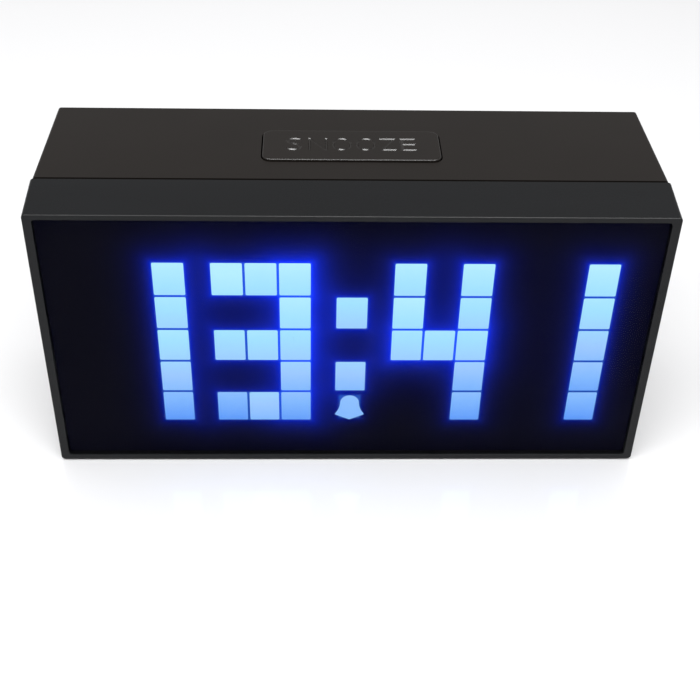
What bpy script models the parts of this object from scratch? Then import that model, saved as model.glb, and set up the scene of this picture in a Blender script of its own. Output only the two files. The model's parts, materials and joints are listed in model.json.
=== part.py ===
"""A desk alarm clock with a block-digit light display, as an assembly of separate pieces.

Units are metres. +X is to the right of someone who faces the display, +Y runs from the display to the
back and +Z is up. The origin is the middle of the footprint, on the surface that the feet stand on.
"""

import math

import bmesh
import bpy
from mathutils import Matrix, Vector

# ---- Driving dimensions ---------------------------------------------------------------------------

CLEAR = 0.0003  # gap between pieces that rest on each other
NEAR = 0.00015  # gap under a component that is soldered or seated on a board
WELD = 0.000001

CASE_WIDTH = 0.1654
CASE_DEPTH = 0.057
BEZEL_DEPTH = 0.0163
BEZEL_HEIGHT = 0.0824
FOOT_RISE = 0.0006  # how far the case stands above the table
HOUSING_STEP = 0.0003  # how much the housing is smaller than the bezel, all round
BEZEL_WALL_SIDE = 0.0023
BEZEL_WALL_TOP = 0.0016
HOUSING_WALL = 0.0022
CORNER_RADIUS = 0.0009

# Mould draft: the case is widest and highest at the seam, and draws in towards its front and its back.
FRONT_DRAFT = (0.0006, 0.0008)  # how much the sides and the top draw in from the seam to the front
BACK_DRAFT = (0.0003, 0.0002)  # and from the seam to the back

Y_FRONT = -CASE_DEPTH / 2
Y_BACK = CASE_DEPTH / 2
Y_SEAM = Y_FRONT + BEZEL_DEPTH
X_SIDE = CASE_WIDTH / 2
Z_LOW = FOOT_RISE
Z_TOP = FOOT_RISE + BEZEL_HEIGHT
X_INNER = X_SIDE - HOUSING_STEP - HOUSING_WALL
Z_INNER_LOW = Z_LOW + HOUSING_STEP + HOUSING_WALL
Z_INNER_TOP = Z_TOP - HOUSING_STEP - HOUSING_WALL
Z_HOUSING_TOP = Z_TOP - HOUSING_STEP
Y_BACK_INNER = Y_BACK - HOUSING_WALL

# The lens stands in a pocket of the bezel, and a ledge behind it carries the light grid.
POCKET_DEPTH = 0.0024
LEDGE_THICKNESS = 0.0015
LEDGE_WIDTH = 0.0028
LENS_RECESS = 0.0003
LAP_DEPTH = 0.003  # the half-lap joint between bezel and housing
LAP_SKIN = 0.0011
Y_LEDGE = Y_FRONT + POCKET_DEPTH
Y_LEDGE_BACK = Y_LEDGE + LEDGE_THICKNESS
X_POCKET = X_SIDE - BEZEL_WALL_SIDE
Z_POCKET_LOW = Z_LOW + BEZEL_WALL_TOP
Z_POCKET_TOP = Z_TOP - BEZEL_WALL_TOP
X_WINDOW = X_POCKET - LEDGE_WIDTH
Z_WINDOW_LOW = Z_POCKET_LOW + LEDGE_WIDTH
Z_WINDOW_TOP = Z_POCKET_TOP - LEDGE_WIDTH

# The display: four digits of 3 by 5 blocks, a colon and a bell.
CELL_PITCH_X = 0.00886
CELL_PITCH_Z = 0.01084
CELL_WIDTH = 0.00837
CELL_HEIGHT = 0.0104
DISPLAY_Z = 0.041
ROWS = 5
DIGIT_COLUMNS = (-7.4, -3.7, 1.7, 5.4)  # each digit's left column, in pitches from the middle
COLUMNS_IN_DIGIT = 3
COLON_ROWS = (1, 3)
BELL_DOME_RADIUS = 0.0025
BELL_TOP_Z = 0.0234
BELL_HALF_WIDTH = 0.0041
BELL_RIM_Z = 0.0165
BELL_TIP_Z = 0.0144

GRID_PLATE = 0.0016
GRID_FLANGE = 0.0013
GRID_WALL = 0.001
Y_GRID_FRONT = Y_LEDGE + 0.0006
Y_GRID_BACK = Y_FRONT + 0.0127
BOARD_THICKNESS = 0.0016
Y_LED_BOARD = Y_GRID_BACK + CLEAR
LED_SIZE = (0.0035, 0.0019, 0.0028)

# Case screws, in wells that reach forward from the back wall to posts on the bezel.
CASE_SCREW_X = 0.0735
CASE_SCREW_Z = (0.0105, 0.0731)
POST_RADIUS = 0.0035
WELL_RADIUS = 0.0042
WELL_BORE = 0.0031
WELL_FLOOR = 0.0022
Y_CAVITY_FRONT = -0.02
Y_POST_FRONT = Y_LEDGE_BACK + 0.0019
Y_POST_BACK = -0.004
CASE_SCREW = {"head": 0.0028, "head_height": 0.0022, "shank": 0.0015, "length": 0.011}
BOARD_SCREW = {"head": 0.0022, "head_height": 0.0015, "shank": 0.00115, "length": 0.0066}
PILOT_GAP = 0.00015
LUG_X = 0.0755
LUG_Z = (0.0276, 0.0544)

# The snooze button, its switch and its two springs.
SNOOZE_WIDTH = 0.048
SNOOZE_DEPTH = 0.0162
SNOOZE_Y = 0.0065
SNOOZE_RISE = 0.0006
SNOOZE_PLATE = 0.002
SNOOZE_RADIUS = 0.0024
SNOOZE_FLANGE = 0.002
SNOOZE_GAP = 0.0004
SNOOZE_PIN_X = 0.017
SNOOZE_PIN_RADIUS = 0.0018
SNOOZE_POST_X = 0.0315
Z_SNOOZE_TOP = Z_HOUSING_TOP + FRONT_DRAFT[1] - BACK_DRAFT[1] / 2 + SNOOZE_RISE
Z_SNOOZE_UNDER = Z_SNOOZE_TOP - SNOOZE_PLATE
Z_SNOOZE_BOARD = 0.072
SPRING_TURNS = 4
SPRING_RADIUS = 0.0029
SPRING_WIRE = 0.00025
SPRING_POINTS_A_TURN = 10

# Tact switches, with the plunger's bore and how far it stands out.
SWITCH_SIDE = 0.006
SWITCH_HEIGHT = 0.0035
SWITCH_BORE = 0.00195
SWITCH_BORE_DEPTH = 0.0023
PLUNGER_RADIUS = 0.0017
PLUNGER_RISE = 0.0012
PLUNGER_SUNK = 0.0013

# The control board and what it carries.
Y_CONTROL = 0.016
CONTROL_X = (-0.040, 0.030)
CONTROL_Z = (0.012, 0.068)
CONTROL_POST_INSET = 0.0035
CONTROL_POST_RADIUS = 0.003
KEY_NAMES = ("set_key", "up_key", "down_key", "alarm_key")
KEY_PITCH = 0.014
KEY_Z = 0.052
KEY_SIZE = (0.008, 0.005)
KEY_RADIUS = 0.0012
KEY_FLANGE = 0.0012
KEY_PANEL_DEPTH = 0.0012
KEY_PANEL_MARGIN = 0.0035
KEY_RISE = 0.0009
JACK_X, JACK_Z = -0.027, 0.024
JACK_BORE = 0.0031
JACK_NOSE = 0.0039
BUZZER_X, BUZZER_Z = 0.010, 0.026
BUZZER_RADIUS = 0.006
BUZZER_HEIGHT = 0.0065
SLOT_COUNT = 5
SLOT_PITCH = 0.0028
SLOT_SIZE = (0.0014, 0.009)
RIBBON_WIDTH = 0.016
RIBBON_THICKNESS = 0.0009
RIBBON_SAG = 0.009
RIBBON_Z = 0.060
RIBBON_X = -0.005

# The battery tray, its door and the coin cell.
DOOR_X = (0.0398, 0.0662)
DOOR_Z = (0.0263, 0.0557)
DOOR_THICKNESS = 0.0016
DOOR_RECESS = 0.0003
Y_DOOR_AXIS = Y_BACK - DOOR_RECESS - DOOR_THICKNESS / 2
Z_DOOR_AXIS = DOOR_Z[0] + DOOR_THICKNESS / 2
DOOR_PIN_RADIUS = 0.0005
DOOR_PIN_LENGTH = 0.0014
DOOR_SOCKET = 0.00075
TRAY_WALL = 0.0015
Y_TRAY_FRONT = 0.019
CELL_CENTRE_X, CELL_CENTRE_Z = 0.053, 0.043
COIN_RADIUS = 0.010
COIN_THICKNESS = 0.0032
COIN_WELL = 0.0103
Y_COIN = 0.0226

FOOT_RADIUS = 0.004
FOOT_HEIGHT = 0.0012
FOOT_GAP = 0.0002
FOOT_EDGE = 0.0003
FOOT_SINK = 0.0009
FOOT_X = 0.066
FOOT_Y = (-0.0205, 0.0205)

# Allowances that many pieces share.
PAST = 0.001  # how far a cutter reaches past what it cuts
FAR_PAST = 0.002
SCREW_CLEARANCE = 0.0003
BITE = 0.0007  # how far a piece is sunk into the wall that it is joined to
SHELL_BEVEL = 0.0003
CHIP_BEVEL = 0.0002
POCKET_RADIUS = 0.001
LENS_GAP = 0.0002
LENS_RADIUS = 0.0009
FILM_GAP = 0.0006
FILM_THICKNESS = 0.0003
GRID_GAP = 0.0004
FLANGE_RADIUS = 0.0008

# Ribs and lugs on the bezel, and the depths that their pilot holes start from.
LUG_BITE = 0.0008
RIB_SINK = 0.0004
RIB_HALF = 0.002
LUG_INSET = 0.0027
LUG_HALF = 0.0032
Y_CASE_PILOT = -0.016
Y_BOARD_PILOT = -0.0212

# The display board and the connectors.
LED_BOARD_GAP = (0.0006, 0.0016)
POST_NOTCH_GAP = 0.0005
DRIVER_X = (-0.035, 0.035)
DRIVER_HALF = (0.005, 0.00375)
DRIVER_HEIGHT = 0.002
HEADER_HEIGHT = 0.0057
HEADER_MARGIN = 0.002
HEADER_HALF_Z = 0.003

# Small sizes of the keys, the snooze button and the power socket.
SNOOZE_BOARD_HALF = (0.035, 0.0068)
SNOOZE_POST_RADIUS = 0.003
FLANGE_THICKNESS = 0.0016
KEY_BITE = 0.0012
PRESSER_RADIUS = 0.002
KEY_PRESSER_RADIUS = 0.0015
JACK_HALF = (0.0048, 0.005)
JACK_FLOOR = 0.0018
JACK_NOSE_BITE = 0.0015
JACK_PIN_RADIUS = 0.001
JACK_PIN_SUNK = 0.0012
COIN_WELL_DEPTH = 0.0012

ROUND = 20
FINE = 32
COARSE = 14

# The outline (u, v) of a prism lies on (Y, Z), (X, Z) or (X, Y), by the axis that it is thick along.
AXIS_FRAMES = {
    "X": Matrix(((0, 0, 1), (1, 0, 0), (0, 1, 0))),
    "Y": Matrix(((1, 0, 0), (0, 0, -1), (0, 1, 0))),
    "Z": Matrix.Identity(3),
}
AXIS_UNITS = {"X": Vector((1, 0, 0)), "Y": Vector((0, 1, 0)), "Z": Vector((0, 0, 1))}


# ---- Scene, materials and modelling helpers -------------------------------------------------------


def clear_scene():
    """Removes whatever the file held."""
    for old in list(bpy.data.objects):
        bpy.data.objects.remove(old, do_unlink=True)


def new_collection(name):
    """A collection linked to the scene."""
    made = bpy.data.collections.new(name)
    bpy.context.scene.collection.children.link(made)
    return made


clear_scene()
PARTS = new_collection("alarm_clock")
CUTTERS = new_collection("cutters")


def new_material(name, colour, roughness, metallic=0.0, alpha=1.0):
    """A Principled material of one colour."""
    made = bpy.data.materials.new(name)
    made.use_nodes = True
    shader = made.node_tree.nodes["Principled BSDF"]
    shader.inputs["Base Color"].default_value = (*colour, 1.0)
    shader.inputs["Roughness"].default_value = roughness
    shader.inputs["Metallic"].default_value = metallic
    shader.inputs["Alpha"].default_value = alpha
    made.diffuse_color = (*colour, alpha)
    return made


HOUSING_PLASTIC = new_material("housing_plastic", (0.040, 0.035, 0.034), 0.45)
BEZEL_PLASTIC = new_material("bezel_plastic", (0.030, 0.032, 0.034), 0.38)
SMOKED_ACRYLIC = new_material("smoked_acrylic", (0.004, 0.004, 0.008), 0.05, alpha=0.5)
DIFFUSER = new_material("diffuser", (0.75, 0.80, 0.90), 0.6)
GRID_PLASTIC = new_material("grid_plastic", (0.015, 0.015, 0.017), 0.6)
BOARD_GREEN = new_material("board_green", (0.02, 0.16, 0.06), 0.4)
CHIP_BLACK = new_material("chip_black", (0.015, 0.015, 0.016), 0.5)
CONNECTOR_CREAM = new_material("connector_cream", (0.70, 0.66, 0.55), 0.5)
SCREW_STEEL = new_material("screw_steel", (0.42, 0.42, 0.44), 0.35, metallic=1.0)
SPRING_STEEL = new_material("spring_steel", (0.60, 0.60, 0.62), 0.25, metallic=1.0)
CONTACT_METAL = new_material("contact_metal", (0.72, 0.68, 0.58), 0.3, metallic=1.0)
COIN_STEEL = new_material("coin_steel", (0.68, 0.68, 0.70), 0.28, metallic=1.0)
RIBBON_GREY = new_material("ribbon_grey", (0.35, 0.35, 0.37), 0.55)
LEAD_BLACK = new_material("lead_black", (0.02, 0.02, 0.02), 0.5)
RUBBER = new_material("rubber", (0.02, 0.02, 0.02), 0.85)


def place(obj, collection, material=None):
    """Puts an object in a collection and gives it its material."""
    for old in list(obj.users_collection):
        old.objects.unlink(obj)
    collection.objects.link(obj)
    if material is not None:
        obj.data.materials.clear()
        obj.data.materials.append(material)
    return obj


def rounded_rectangle(u, v, radius, steps=4):
    """The outline of a rectangle from u[0], v[0] to u[1], v[1], with an arc at each corner."""
    centres = (
        (u[1] - radius, v[1] - radius),
        (u[0] + radius, v[1] - radius),
        (u[0] + radius, v[0] + radius),
        (u[1] - radius, v[0] + radius),
    )
    points = []
    for quarter, (cu, cv) in enumerate(centres):
        for step in range(steps + 1):
            angle = math.pi / 2 * (quarter + step / steps)
            points.append((cu + radius * math.cos(angle), cv + radius * math.sin(angle)))
    return points


def circle_outline(cu, cv, radius, count=ROUND):
    """The outline of a circle."""
    turns = (2 * math.pi * k / count for k in range(count))
    return [(cu + radius * math.cos(a), cv + radius * math.sin(a)) for a in turns]


def mesh_from_curve(drawn):
    """The curve's solid as a mesh object with welded caps, in the curve's place. The curve is removed."""
    bpy.context.scene.collection.objects.link(drawn)
    bpy.context.view_layer.update()
    graph = bpy.context.evaluated_depsgraph_get()
    mesh = bpy.data.meshes.new_from_object(drawn.evaluated_get(graph))
    shape = bmesh.new()
    shape.from_mesh(mesh)
    bmesh.ops.remove_doubles(shape, verts=shape.verts, dist=WELD)
    bmesh.ops.recalc_face_normals(shape, faces=shape.faces)
    shape.to_mesh(mesh)
    shape.free()
    name = drawn.name
    matrix = drawn.matrix_world.copy()
    bpy.data.objects.remove(drawn, do_unlink=True)
    solid = bpy.data.objects.new(name, mesh)
    solid.matrix_world = matrix
    mesh.name = name
    return solid


def prism(name, outlines, axis, low, high, material=None, bevel=0.0, bevel_segments=2):
    """An outline, with any holes after it, made thick along an axis from low to high."""
    curve = bpy.data.curves.new(name, "CURVE")
    curve.dimensions = "2D"
    curve.fill_mode = "BOTH"
    curve.extrude = (high - low) / 2
    for outline in outlines:
        spline = curve.splines.new("POLY")
        spline.points.add(len(outline) - 1)
        for point, (u, v) in zip(spline.points, outline):
            point.co = (u, v, 0, 1)
        spline.use_cyclic_u = True
    drawn = bpy.data.objects.new(name, curve)
    middle = AXIS_UNITS[axis] * (low + high) / 2
    drawn.matrix_world = Matrix.Translation(middle) @ AXIS_FRAMES[axis].to_4x4()
    solid = place(mesh_from_curve(drawn), PARTS, material)
    if bevel:
        add_bevel(solid, bevel, bevel_segments)
    return solid


def spread(shell, near_end, far_end):
    """Moves a shell's sides and top outwards, by an amount that runs from one (y, side, top) to another."""
    inverse = shell.matrix_world.inverted()
    for vertex in shell.data.vertices:
        spot = shell.matrix_world @ vertex.co
        share = (spot.y - near_end[0]) / (far_end[0] - near_end[0])
        side, top = (low + (high - low) * share for low, high in zip(near_end[1:], far_end[1:]))
        spot.x *= 1 + side / X_SIDE
        spot.z += top * max(spot.z - DISPLAY_Z, 0.0) / (Z_TOP - DISPLAY_Z)
        vertex.co = inverse @ spot


def add_bevel(obj, width, segments=2):
    """Rounds the edges sharper than 40 degrees."""
    modifier = obj.modifiers.new("edge_round", "BEVEL")
    modifier.width = width
    modifier.segments = segments
    modifier.limit_method = "ANGLE"
    modifier.angle_limit = math.radians(40)


def box(name, low, high, material=None, bevel=0.0):
    """A box between two corners, its origin at its middle."""
    bpy.ops.mesh.primitive_cube_add(size=1)
    made = bpy.context.object
    made.name = name
    made.data.name = name
    low, high = Vector(low), Vector(high)
    made.data.transform(Matrix.Diagonal((*(high - low), 1)))
    made.location = (low + high) / 2
    if bevel:
        add_bevel(made, bevel)
    return place(made, PARTS, material)


def cylinder(name, centre, radius, axis, low, high, material=None, count=ROUND):
    """A cylinder along an axis from low to high. centre is its place across the axis."""
    return prism(name, [circle_outline(*centre, radius, count)], axis, low, high, material)


def turned(name, profile, material, steps=ROUND):
    """A profile of (radius, height) points, from the top of the axis to its bottom, turned about +Z."""
    mesh = bpy.data.meshes.new(name)
    edges = [(k, k + 1) for k in range(len(profile) - 1)]
    mesh.from_pydata([(r, 0, z) for r, z in profile], edges, [])
    made = place(bpy.data.objects.new(name, mesh), PARTS, material)
    screw = made.modifiers.new("turn", "SCREW")
    screw.axis = "Z"
    screw.steps = screw.render_steps = steps
    screw.use_merge_vertices = True
    screw.merge_threshold = WELD
    return made


def combine(target, tool, operation):
    """Joins the tool to the target or cuts it from it. The tool is kept as a hidden helper."""
    modifier = target.modifiers.new(f"{operation.lower()}_{tool.name}", "BOOLEAN")
    modifier.operation = operation
    modifier.solver = "EXACT"
    modifier.object = tool
    place(tool, CUTTERS)
    tool.hide_render = True
    tool.display_type = "WIRE"


def cut(target, *tools):
    """Cuts each tool from the target."""
    for tool in tools:
        combine(target, tool, "DIFFERENCE")


def join(target, *tools):
    """Joins each tool to the target as one body."""
    for tool in tools:
        combine(target, tool, "UNION")


def gathered(name, pieces):
    """Several separate solids as one helper mesh."""
    shape = bmesh.new()
    for piece in pieces:
        start = len(shape.verts)
        shape.from_mesh(piece.data)
        shape.verts.ensure_lookup_table()
        bmesh.ops.transform(shape, matrix=piece.matrix_basis, verts=shape.verts[start:])
        bpy.data.objects.remove(piece, do_unlink=True)
    mesh = bpy.data.meshes.new(name)
    shape.to_mesh(mesh)
    shape.free()
    return place(bpy.data.objects.new(name, mesh), PARTS)


def set_origin(obj, point):
    """Moves the object's origin to a point and leaves its shape where it is."""
    shift = obj.matrix_basis.inverted() @ Vector(point)
    obj.data.transform(Matrix.Translation(-shift))
    obj.matrix_basis = Matrix.Translation(point) @ obj.matrix_basis.to_3x3().to_4x4()


def screw(name, size, place_at, turn):
    """A pan-head screw whose head seat is at place_at. turn carries +Z, its head's side, to its real way."""
    head, height, shank = size["head"], size["head_height"], size["shank"]
    tip = -size["length"]
    profile = [
        (0, height),
        (head * 0.6, height),
        (head * 0.92, height * 0.7),
        (head, height * 0.25),
        (head, 0),
        (shank, 0),
        (shank, tip + shank),
        (shank * 0.25, tip),
        (0, tip),
    ]
    made = turned(name, profile, SCREW_STEEL, steps=COARSE)
    made.rotation_euler = turn
    made.location = place_at
    return made


HEAD_TO_BACK = (math.radians(-90), 0, 0)
HEAD_TO_FRONT = (math.radians(90), 0, 0)
HEAD_DOWN = (math.radians(180), 0, 0)
CORNERS = [(side, z) for z in CASE_SCREW_Z for side in (-1, 1)]


# ---- Display geometry shared by the grid and its board --------------------------------------------


def row_z(row):
    """Height of the middle of a row of cells. Row 0 is the top one."""
    return DISPLAY_Z + ((ROWS - 1) / 2 - row) * CELL_PITCH_Z


def digit_cells():
    """The middle (x, z) of every square cell: four digits and the colon."""
    cells = []
    for first in DIGIT_COLUMNS:
        for column in range(COLUMNS_IN_DIGIT):
            cells += [((first + column) * CELL_PITCH_X, row_z(row)) for row in range(ROWS)]
    return cells + [(0.0, row_z(row)) for row in COLON_ROWS]


def bell_outline(steps=8):
    """The bell: a half-round dome, flared sides and a rim that falls to a point."""
    dome_z = BELL_TOP_Z - BELL_DOME_RADIUS
    angles = (math.pi * k / steps for k in range(steps + 1))
    dome = [(BELL_DOME_RADIUS * math.cos(a), dome_z + BELL_DOME_RADIUS * math.sin(a)) for a in angles]
    waist_z = (dome_z + BELL_RIM_Z) / 2
    waist_x = BELL_DOME_RADIUS * 1.12
    left = [(-waist_x, waist_z), (-BELL_HALF_WIDTH, BELL_RIM_Z)]
    right = [(BELL_HALF_WIDTH, BELL_RIM_Z), (waist_x, waist_z)]
    return dome + left + [(0, BELL_TIP_Z)] + right


# ---- Front: bezel, lens, diffuser, light grid and LED board ---------------------------------------


def front_bezel():
    """The front frame: lens pocket, ledge, half-lap at the back, posts and lugs."""
    outer = rounded_rectangle((-X_SIDE, X_SIDE), (Z_LOW, Z_TOP), CORNER_RADIUS)
    bezel = prism("front_bezel", [outer], "Y", Y_FRONT, Y_SEAM, BEZEL_PLASTIC, SHELL_BEVEL)
    spread(bezel, (Y_FRONT, 0.0, 0.0), (Y_SEAM, *FRONT_DRAFT))
    pocket = rounded_rectangle((-X_POCKET, X_POCKET), (Z_POCKET_LOW, Z_POCKET_TOP), POCKET_RADIUS)
    window = rounded_rectangle((-X_WINDOW, X_WINDOW), (Z_WINDOW_LOW, Z_WINDOW_TOP), POCKET_RADIUS)
    lap = rounded_rectangle(
        (-X_SIDE + LAP_SKIN, X_SIDE - LAP_SKIN), (Z_LOW + LAP_SKIN, Z_TOP - LAP_SKIN), POCKET_RADIUS
    )
    cut(
        bezel,
        prism("lens_pocket", [pocket], "Y", Y_FRONT - FAR_PAST, Y_LEDGE),
        prism("window_cut", [window], "Y", Y_FRONT - FAR_PAST, Y_LEDGE_BACK + FAR_PAST),
        prism("bezel_cavity", [pocket], "Y", Y_LEDGE_BACK, Y_SEAM + FAR_PAST),
        prism("lap_cut", [lap], "Y", Y_SEAM - LAP_DEPTH, Y_SEAM + FAR_PAST),
        foot_recess("front_foot_recess", FOOT_Y[0]),
    )
    wall_bite = X_POCKET + LUG_BITE
    posts, ribs, pilots = [], [], []
    for side, z in CORNERS:
        x = side * CASE_SCREW_X
        posts.append(cylinder("post", (x, z), POST_RADIUS, "Y", Y_POST_FRONT, Y_POST_BACK))
        ends = sorted((x, side * wall_bite))
        low = (ends[0], Y_POST_FRONT + RIB_SINK, z - RIB_HALF)
        high = (ends[1], Y_SEAM - LAP_DEPTH - PAST, z + RIB_HALF)
        ribs.append(box("rib", low, high))
        radius = CASE_SCREW["shank"] + PILOT_GAP
        pilots.append(cylinder("pilot", (x, z), radius, "Y", Y_CASE_PILOT, Y_POST_BACK + FAR_PAST))
    for side in (-1, 1):
        for z in LUG_Z:
            ends = sorted((side * (LUG_X - LUG_INSET), side * wall_bite))
            low = (ends[0], Y_POST_FRONT, z - LUG_HALF)
            ribs.append(box("lug", low, (ends[1], Y_GRID_BACK, z + LUG_HALF)))
            radius = BOARD_SCREW["shank"] + PILOT_GAP
            y_ends = (Y_BOARD_PILOT, Y_GRID_BACK + FAR_PAST)
            pilots.append(cylinder("pilot", (side * LUG_X, z), radius, "Y", *y_ends))
    join(bezel, gathered("bezel_ribs", ribs), gathered("bezel_posts", posts))
    cut(bezel, gathered("bezel_pilots", pilots))


def foot_recess(name, y):
    """Two round recesses for feet in the underside, as one cutter."""
    roof = FOOT_HEIGHT + CLEAR
    radius = FOOT_RADIUS + FOOT_GAP
    sides = (-FOOT_X, FOOT_X)
    return gathered(name, [cylinder("recess", (x, y), radius, "Z", -FAR_PAST, roof) for x in sides])


def front_lens():
    """The smoked acrylic panel that fills the bezel."""
    gap = LENS_GAP
    outline = rounded_rectangle(
        (-X_POCKET + gap, X_POCKET - gap), (Z_POCKET_LOW + gap, Z_POCKET_TOP - gap), LENS_RADIUS
    )
    prism("front_lens", [outline], "Y", Y_FRONT + LENS_RECESS, Y_LEDGE - CLEAR, SMOKED_ACRYLIC)


def diffuser_film():
    """The thin white sheet between the lens and the grid."""
    gap = FILM_GAP
    outline = rounded_rectangle(
        (-X_WINDOW + gap, X_WINDOW - gap), (Z_WINDOW_LOW + gap, Z_WINDOW_TOP - gap), POCKET_RADIUS
    )
    prism("diffuser_film", [outline], "Y", Y_LEDGE, Y_LEDGE + FILM_THICKNESS, DIFFUSER)


def light_grid():
    """The reflector: a plate in the ledge's window, a flange behind it and deep boxes round the cells."""
    gap = GRID_GAP
    front = rounded_rectangle(
        (-X_WINDOW + gap, X_WINDOW - gap), (Z_WINDOW_LOW + gap, Z_WINDOW_TOP - gap), POCKET_RADIUS
    )
    grid = prism("light_grid", [front], "Y", Y_GRID_FRONT, Y_GRID_FRONT + GRID_PLATE, GRID_PLASTIC)
    flange = rounded_rectangle(
        (-X_POCKET + gap, X_POCKET - gap), (Z_POCKET_LOW + gap, Z_POCKET_TOP - gap), FLANGE_RADIUS
    )
    y_flange = Y_LEDGE_BACK + CLEAR
    join(grid, prism("grid_flange", [flange], "Y", y_flange, y_flange + GRID_FLANGE))
    half_width = CELL_WIDTH / 2 + GRID_WALL
    half_height = CELL_HEIGHT / 2 + GRID_WALL
    y_start = Y_GRID_FRONT + GRID_PLATE / 2
    boxes = []
    for first in DIGIT_COLUMNS:
        low = (first * CELL_PITCH_X - half_width, y_start, row_z(ROWS - 1) - half_height)
        last = (first + COLUMNS_IN_DIGIT - 1) * CELL_PITCH_X
        boxes.append(box("digit", low, (last + half_width, Y_GRID_BACK, row_z(0) + half_height)))
    colon_low = (-half_width, y_start, BELL_TIP_Z - GRID_WALL)
    colon_high = (half_width, Y_GRID_BACK, row_z(COLON_ROWS[0]) + half_height)
    boxes.append(box("colon", colon_low, colon_high))
    join(grid, gathered("grid_boxes", boxes))
    y_ends = (Y_GRID_FRONT - PAST, Y_GRID_BACK + PAST)
    holes = []
    for x, z in digit_cells():
        low = (x - CELL_WIDTH / 2, y_ends[0], z - CELL_HEIGHT / 2)
        holes.append(box("cell", low, (x + CELL_WIDTH / 2, y_ends[1], z + CELL_HEIGHT / 2)))
    holes.append(prism("bell", [bell_outline()], "Y", *y_ends))
    cut(grid, gathered("grid_cells", holes))


def led_board():
    """The display's circuit board, with a lamp soldered on behind each cell."""
    edge_x = X_POCKET - LED_BOARD_GAP[0]
    edge_z = (Z_POCKET_LOW + LED_BOARD_GAP[1], Z_POCKET_TOP - LED_BOARD_GAP[1])
    outline = rounded_rectangle((-edge_x, edge_x), edge_z, FLANGE_RADIUS)
    hole = BOARD_SCREW["shank"] + SCREW_CLEARANCE
    holes = [circle_outline(side * LUG_X, z, hole, COARSE) for side in (-1, 1) for z in LUG_Z]
    y_back = Y_LED_BOARD + BOARD_THICKNESS
    board = prism("led_board", [outline, *holes], "Y", Y_LED_BOARD, y_back, BOARD_GREEN)
    notch = POST_RADIUS + POST_NOTCH_GAP
    notches = []
    for side, z in CORNERS:
        x_ends = sorted((side * (CASE_SCREW_X - notch), side * X_SIDE))
        z_ends = (Z_LOW, z + notch) if z < DISPLAY_Z else (z - notch, Z_TOP)
        low = (x_ends[0], Y_LED_BOARD - PAST, z_ends[0])
        notches.append(box("notch", low, (x_ends[1], y_back + PAST, z_ends[1])))
    cut(board, gathered("board_notches", notches))
    bell_middle = (0.0, (BELL_TOP_Z + BELL_TIP_Z) / 2)
    lamps = []
    for x, z in [*digit_cells(), bell_middle]:
        low = (x - LED_SIZE[0] / 2, Y_LED_BOARD - LED_SIZE[1], z - LED_SIZE[2] / 2)
        high = (x + LED_SIZE[0] / 2, Y_LED_BOARD + BOARD_THICKNESS / 2, z + LED_SIZE[2] / 2)
        lamps.append(box("lamp", low, high))
    join(board, gathered("led_lamps", lamps))
    y_chip = y_back + NEAR
    half_x, half_z = DRIVER_HALF
    for number, x in enumerate(DRIVER_X, 1):
        low = (x - half_x, y_chip, DISPLAY_Z - half_z)
        high = (x + half_x, y_chip + DRIVER_HEIGHT, DISPLAY_Z + half_z)
        box(f"led_driver_chip_{number}", low, high, CHIP_BLACK, bevel=CHIP_BEVEL)
    header("led_header", y_chip, y_chip + HEADER_HEIGHT)
    spots = [(side * LUG_X, z) for z in LUG_Z for side in (-1, 1)]
    for number, (x, z) in enumerate(spots, 1):
        screw(f"led_board_screw_{number}", BOARD_SCREW, (x, y_back + NEAR, z), HEAD_TO_BACK)


def header(name, y_low, y_high):
    """A ribbon connector's body."""
    half = RIBBON_WIDTH / 2 + HEADER_MARGIN
    low = (RIBBON_X - half, y_low, RIBBON_Z - HEADER_HALF_Z)
    high = (RIBBON_X + half, y_high, RIBBON_Z + HEADER_HALF_Z)
    box(name, low, high, CONNECTOR_CREAM, bevel=SHELL_BEVEL)


# ---- Rear housing ---------------------------------------------------------------------------------


def rear_housing():
    """The rear shell: walls, half-lap tongue, screw wells, board posts, battery tray and openings."""
    x_side = X_SIDE - HOUSING_STEP
    z_ends = (Z_LOW + HOUSING_STEP, Z_HOUSING_TOP)
    outer = rounded_rectangle((-x_side, x_side), z_ends, CORNER_RADIUS)
    shell = prism(
        "rear_housing", [outer], "Y", Y_SEAM + CLEAR, Y_BACK, HOUSING_PLASTIC, bevel=SHELL_BEVEL
    )
    at_back = [front - back for front, back in zip(FRONT_DRAFT, BACK_DRAFT)]
    spread(shell, (Y_SEAM, *FRONT_DRAFT), (Y_BACK, *at_back))
    skin = LAP_SKIN + CLEAR
    tongue = rounded_rectangle(
        (-X_SIDE + skin, X_SIDE - skin), (Z_LOW + skin, Z_TOP - skin), LENS_RADIUS
    )
    join(shell, prism("tongue", [tongue], "Y", Y_SEAM - LAP_DEPTH + CLEAR, 0.0))
    cavity = rounded_rectangle((-X_INNER, X_INNER), (Z_INNER_LOW, Z_INNER_TOP), FLANGE_RADIUS)
    cut(shell, prism("housing_cavity", [cavity], "Y", Y_CAVITY_FRONT, Y_BACK_INNER))
    wall_bite = Y_BACK_INNER + BITE
    joined = well_tubes(wall_bite) + control_posts(wall_bite) + snooze_posts()
    x_tray = (DOOR_X[0] - CLEAR - TRAY_WALL, DOOR_X[1] + CLEAR + TRAY_WALL)
    z_tray = (DOOR_Z[0] - CLEAR - TRAY_WALL, DOOR_Z[1] + CLEAR + TRAY_WALL)
    tray = box("tray", (x_tray[0], Y_TRAY_FRONT, z_tray[0]), (x_tray[1], wall_bite, z_tray[1]))
    join(shell, gathered("housing_inside", [*joined, tray]))
    cut(
        shell,
        gathered("well_bores", well_bores()),
        gathered("screw_holes", screw_holes()),
        snooze_opening(),
        key_openings(),
        gathered("back_slots", sound_slots()),
        foot_recess("rear_foot_recess", FOOT_Y[1]),
    )
    for tool in battery_cuts():
        cut(shell, tool)


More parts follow.
